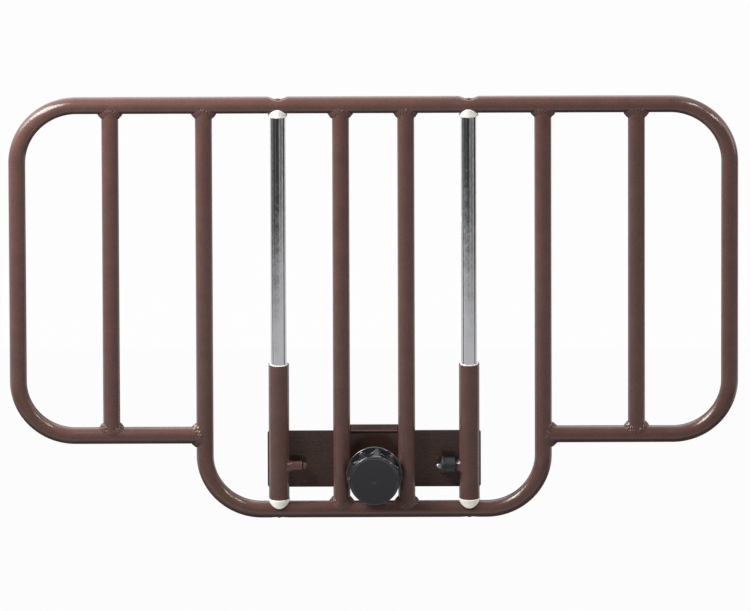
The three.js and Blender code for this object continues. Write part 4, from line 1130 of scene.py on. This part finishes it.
def bent_jaw():
    """A rounded strip section carried along the jaw's side outline: flange, quarter bend, leg. Its half width
    steps out at the shoulders and follows quarter circles at the leg's lower corners."""
    bend = np.linspace(0, np.pi / 2, 13)
    nose = np.linspace(0, np.pi / 2, 7)
    nose_y = -PLATE_THICKNESS + JAW_NOSE * (1 - np.cos(nose))
    flange_y = np.concatenate([nose_y, [2, 7, TONGUE_END - 0.01, TONGUE_END, TONGUE_END + 1,
                                        JAW_LEG_Y - JAW_BEND - 0.5]])
    arc_y = JAW_LEG_Y - JAW_BEND + JAW_BEND * np.sin(bend)
    arc_z = JAW_TOP_Z - JAW_BEND * (1 - np.cos(bend))
    corner = bend[1:]
    leg_z = np.concatenate([np.linspace(arc_z[-1] - 3, PLATE_LOW_Z + JAW_CORNER, 10),
                            PLATE_LOW_Z + JAW_CORNER * (1 - np.sin(corner))])
    y = np.concatenate([flange_y, arc_y, JAW_LEG_Y + 0 * leg_z])
    z = np.concatenate([JAW_TOP_Z + 0 * flange_y, arc_z, leg_z])
    half = np.full(len(y), JAW_HALF)
    half[:len(nose) + 3] = TONGUE_HALF
    half[-len(corner):] = JAW_HALF - JAW_CORNER * (1 - np.cos(corner))
    away_y = np.concatenate([0 * flange_y, -np.sin(bend), 0 * leg_z - 1])
    away_z = np.concatenate([0 * flange_y - 1, -np.cos(bend), 0 * leg_z])
    round_off = np.linspace(0, np.pi / 2, 4)
    corner_x = JAW_EASE * (np.sin(round_off) - 1)
    corner_n = JAW_HALF_THICKNESS + JAW_EASE * (np.cos(round_off) - 1)
    side_x = np.concatenate([corner_x, corner_x[::-1]])
    side_n = np.concatenate([corner_n, -corner_n[::-1]])
    section_x = np.concatenate([half[:, None] + side_x, -(half[:, None] + side_x[::-1])], 1)
    thinned = np.ones(len(y))
    thinned[:len(nose)] = 1 - JAW_NOSE * (1 - np.sin(nose)) / JAW_HALF_THICKNESS
    section_n = np.concatenate([side_n, side_n[::-1]]) * thinned[:, None]
    points = np.stack([section_x, y[:, None] - away_y[:, None] * section_n,
                       z[:, None] - away_z[:, None] * section_n], -1)
    middle = points.copy()
    middle[..., 1] = y[:, None]
    middle[..., 2] = z[:, None]
    points = np.concatenate([middle[:1], points, middle[-1:]])
    return grid(points, round_v=True)


jaw = make_piece("clamp_bent_jaw", [bent_jaw()], dark_coat, sharp=30)
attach(jaw, "jaw")
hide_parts("clamp_jaw")


def chamfered_nut(width, low, high, bore):
    """A hexagon nut about Z. At each height its radius is the hexagon's, or that of a 30 degree cone that
    takes the corners off both faces."""
    angle = once_round(144)
    depth = np.array([0, 0.25, 0.5, 0.75, 1.0, 1.3])[:, None]
    cone = width / 2 - 0.1 + depth * math.tan(math.radians(60))
    foot = np.minimum(hexagon(angle, width), cone)
    rows = [(bore, low + NUT_CHAMFER), (bore + NUT_CHAMFER, low), *zip(foot, low + depth),
            *zip(foot[::-1], high - depth[::-1]), (bore + NUT_CHAMFER, high), (bore, high - NUT_CHAMFER)]
    return lathe(angle, rows, closed=True)


hexagon_nut = place(chamfered_nut(JAW_NUT_WIDTH, JAW_NUT_LOW, JAW_NUT_HIGH, JAW_NUT_BORE), FACING_ROOM)
jaw_nut = make_piece("jaw_hex_nut", [hexagon_nut], zinc, sharp=25)
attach(jaw_nut, "jaw")
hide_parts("jaw_nut")


# The studio: a pale floor that runs far back under a plain pale sky, both seen as white. Soft lamps stand on
# the left (two), over the front left, behind and on the right (three). Cards that glow by a painted tone stand
# in front, behind, overhead and on the floor, unseen by the camera, so that chrome and gloss have something
# dark to show; their paler bands and edges glow as painted light and show on the guard as painted reflections.

FLOOR_Z = -0.62
FLOOR_REACH = 60.0
FLOOR_WHITE = 0.975
SKY_LIGHT = 0.66


def seen_share(tree):
    """1 for the rays of the camera, of gloss and of glass, which see the plain white; 0 for the light."""
    rays = node(tree, "LightPath")
    seen = node(tree, "Math", {0: rays.outputs["Is Camera Ray"], 1: rays.outputs["Is Glossy Ray"]},
                operation="MAXIMUM")
    return node(tree, "Math", {0: seen.outputs[0], 1: rays.outputs["Is Transmission Ray"]},
                operation="MAXIMUM").outputs[0]


floor_mesh = bpy.data.meshes.new("studio_floor")
corners = [(-FLOOR_REACH, -FLOOR_REACH), (FLOOR_REACH, -FLOOR_REACH), (FLOOR_REACH, FLOOR_REACH),
           (-FLOOR_REACH, FLOOR_REACH)]
floor_mesh.from_pydata([(x, y, FLOOR_Z) for x, y in corners], [], [(0, 1, 2, 3)])
floor = bpy.data.objects.new("studio_floor", floor_mesh)
bpy.context.scene.collection.objects.link(floor)
paper, tree, place_in = new_material("matt_paper_floor")
mottle = node(tree, "TexNoise", {"Vector": place_in, "Scale": 3.0})
shade = node(tree, "MapRange", {"Value": mottle.outputs["Fac"], "To Min": 0.5, "To Max": 0.54})
matt = node(tree, "BsdfDiffuse", {"Color": shade.outputs[0]})
white = node(tree, "Emission", {"Color": (1, 1, 1, 1), "Strength": 1.0})
part = node(tree, "Math", {0: seen_share(tree), 1: FLOOR_WHITE}, operation="MULTIPLY")
mixed = node(tree, "MixShader", {0: part.outputs[0], 1: matt.outputs[0], 2: white.outputs[0]})
node(tree, "OutputMaterial", {"Surface": mixed.outputs[0]})
floor_mesh.materials.append(paper)

world = bpy.data.worlds.new("pale_studio")
bpy.context.scene.world = world
world.use_nodes = True
tree = world.node_tree
tree.nodes.clear()
soft = node(tree, "Background", {"Color": (1, 1, 1, 1), "Strength": SKY_LIGHT})
bright = node(tree, "Background", {"Color": (1, 1, 1, 1), "Strength": 1.0})
sky = node(tree, "MixShader", {0: seen_share(tree), 1: soft.outputs[0], 2: bright.outputs[0]})
node(tree, "OutputWorld", {"Surface": sky.outputs[0]})


LAMP_TARGET = Vector((0, 0, 0.2))


def softbox(name, at, width, height, power):
    """A flat lamp that points at the middle of the guard."""
    lamp = bpy.data.lights.new(name, "AREA")
    lamp.shape = "RECTANGLE"
    lamp.size, lamp.size_y = width, height
    lamp.energy = power
    made = bpy.data.objects.new(name, lamp)
    made.location = at
    made.rotation_mode = "QUATERNION"
    made.rotation_quaternion = (Vector(at) - LAMP_TARGET).to_track_quat("Z", "Y")
    bpy.context.scene.collection.objects.link(made)


softbox("softbox_left", (-1.95, -0.35, 1.6), 0.25, 1.0, 21)
softbox("softbox_left_wide", (-2.1, 0.35, 1.55), 1.2, 1.2, 18)
softbox("softbox_front_left", (-0.95, -0.55, 1.25), 0.9, 0.5, 28)
softbox("softbox_behind", (-0.1, 1.7, 1.75), 1.9, 1.3, 13)
softbox("softbox_right", (1.25, -0.9, 2.05), 0.7, 0.25, 13)
softbox("softbox_right_mid", (1.7, -0.8, 1.35), 0.6, 0.25, 9)
softbox("softbox_right_low", (2.2, 0.0, 0.75), 0.9, 1.2, 7)

CARD_RADIUS = 2.4
CARD_HIGH = 0.35
CARD_HALF_ANGLE = 122.0
CANOPY_RADIUS = 3.2
BACK_CARD_Y = 0.8

# The curved card's glowing bands of painted light, each with its angle, its width and its strength of glow.
CARD_BANDS = ((-38, 7, 0.1), (23, 7, 0.42), (47, 12, 0.2), (71, 7, 0.62))


def bell(angle, middle, width):
    """A smooth hump of height 1 about an angle."""
    return np.exp(-((angle - middle) / width) ** 2)


def toned_mesh(name, points, tone):
    """A card from a grid of points, with its tone, the strength of its painted glow, at each of them."""
    tone = np.broadcast_to(tone, points.shape[:2])
    points, quads = grid(points)
    mesh = bpy.data.meshes.new(name)
    mesh.from_pydata(points.tolist(), [], quads.tolist())
    mesh.attributes.new("tone", "FLOAT", "POINT").data.foreach_set("value", tone.ravel())
    return mesh


def card_grid(*parts):
    """Points from x, y and z, each a number, a row or a column."""
    return np.stack(np.broadcast_arrays(*parts), -1)


def curved_card():
    """Part of a drum about Z that glows by its tone, as painted light. Its glow falls smoothly with height, from
    a middle grey at the floor to nearly black, with a paler left part, four pale upright bands, the two strongest
    on the right, and a darker right end."""
    angle = np.linspace(-CARD_HALF_ANGLE, CARD_HALF_ANGLE, 245)
    height = np.linspace(FLOOR_Z + 0.002, CARD_HIGH, 40)[:, None]
    share = smooth((height + 0.56) / 0.26)
    tone = 0.72 * (1 - share) + 0.06 * share + (0.3 + 0.12 * share) * bell(angle, -96, 19)
    for middle, width, strength in CARD_BANDS:
        tone = tone + strength * share * bell(angle, middle, width)
    tone = tone * (1 - 0.5 * bell(angle, 95, 9))
    turn = np.radians(angle)
    points = card_grid(CARD_RADIUS * np.sin(turn), -CARD_RADIUS * np.cos(turn), height)
    return toned_mesh("curved_card", points, tone)


# The cards' material: an emission whose colour is each card's tone, so every card glows as painted light.
glowing_card, tree, _ = new_material("glowing_card")
tone = node(tree, "Attribute", attribute_name="tone")
glow = node(tree, "Emission", {"Color": tone.outputs["Fac"], "Strength": 1.0})
node(tree, "OutputMaterial", {"Surface": glow.outputs[0]})


def low_card():
    """A card that lies on the floor, under the guard and behind it, glowing dimly by its tone, with painted light
    glowing pale along its front edge, where it reaches a little further back on the left."""
    x, y = np.linspace(-1.3, 1.3, 27)[None], np.linspace(-0.55, 2.6, 33)[:, None]
    tone = 0.1 + 0.7 * smooth((-0.1 - 0.2 * x - y) / 0.4)
    return toned_mesh("low_card", card_grid(x, y, FLOOR_Z + 0.004), tone)


def front_card():
    """A ring on the floor in front that glows by its tone, which the plate, the knob and the sleeves show: dark,
    glowing paler outwards where it meets the curved card, and paler at its inner edge, painted light that the
    rails' lower sides show as a painted reflection."""
    angle = np.radians(np.linspace(-100, 100, 101))
    radius = np.linspace(1.0, CARD_RADIUS, 57)[:, None]
    inner = np.clip((1.6 - radius) / 0.4, 0, 1)
    points = card_grid(radius * np.sin(angle), -radius * np.cos(angle), FLOOR_Z + 0.003)
    return toned_mesh("front_card", points, 0.06 + 0.66 * smooth((radius - 2.05) / 0.35) + 0.74 * inner)


def canopy():
    """Part of a sphere over the front, from just above the curved card to overhead: glowing nearly black by its
    tone, with painted light paler at its sides."""
    angle = np.linspace(-80, 80, 81)
    rise = np.radians(np.linspace(4, 90, 44))[:, None]
    turn = np.radians(angle)
    share = np.clip((np.abs(angle) - 60) / 20, 0, 1)
    points = CANOPY_RADIUS * card_grid(np.cos(rise) * np.sin(turn), -np.cos(rise) * np.cos(turn), np.sin(rise))
    return toned_mesh("canopy", points, 0.05 + 0.35 * share**2)


def back_card():
    """A small card close behind, glowing nearly black, which the jaw's flange and the bottom rail's top show as a
    painted dark reflection.
    """
    x, z = np.linspace(-0.34, 0.34, 9)[None], np.linspace(-0.3, 0.47, 9)[:, None]
    return toned_mesh("back_card", card_grid(x, BACK_CARD_Y, z), 0.05)


for mesh in (curved_card(), low_card(), front_card(), canopy(), back_card()):
    card = bpy.data.objects.new(mesh.name, mesh)
    mesh.materials.append(glowing_card)
    card.visible_camera = False
    bpy.context.scene.collection.objects.link(card)


# The camera looks down at the photograph's angle, from so far off that upright tubes stay parallel and still
# inside the clipping distance of the other views.

SENSOR = 36
CAMERA_TARGET = Vector((0.0016, -0.0158, 0.2162))
CAMERA_ELEVATION = math.radians(16.5)
CAMERA_ROLL = math.radians(-0.2)
CAMERA_DISTANCE = 30.0
VIEW_WIDTH = 0.9405

view = bpy.data.cameras.new("view")
view.sensor_width = SENSOR
view.lens = SENSOR * CAMERA_DISTANCE / VIEW_WIDTH
view.clip_end = 200
camera = bpy.data.objects.new("view", view)
back = Vector((0, -math.cos(CAMERA_ELEVATION), math.sin(CAMERA_ELEVATION)))
camera.location = CAMERA_TARGET + back * CAMERA_DISTANCE
camera.rotation_mode = "QUATERNION"
camera.rotation_quaternion = (-back).to_track_quat("-Z", "Y") @ Quaternion((0, 0, 1), CAMERA_ROLL)
bpy.context.scene.collection.objects.link(camera)
bpy.context.scene.camera = camera
bpy.context.scene.view_settings.view_transform = "Standard"
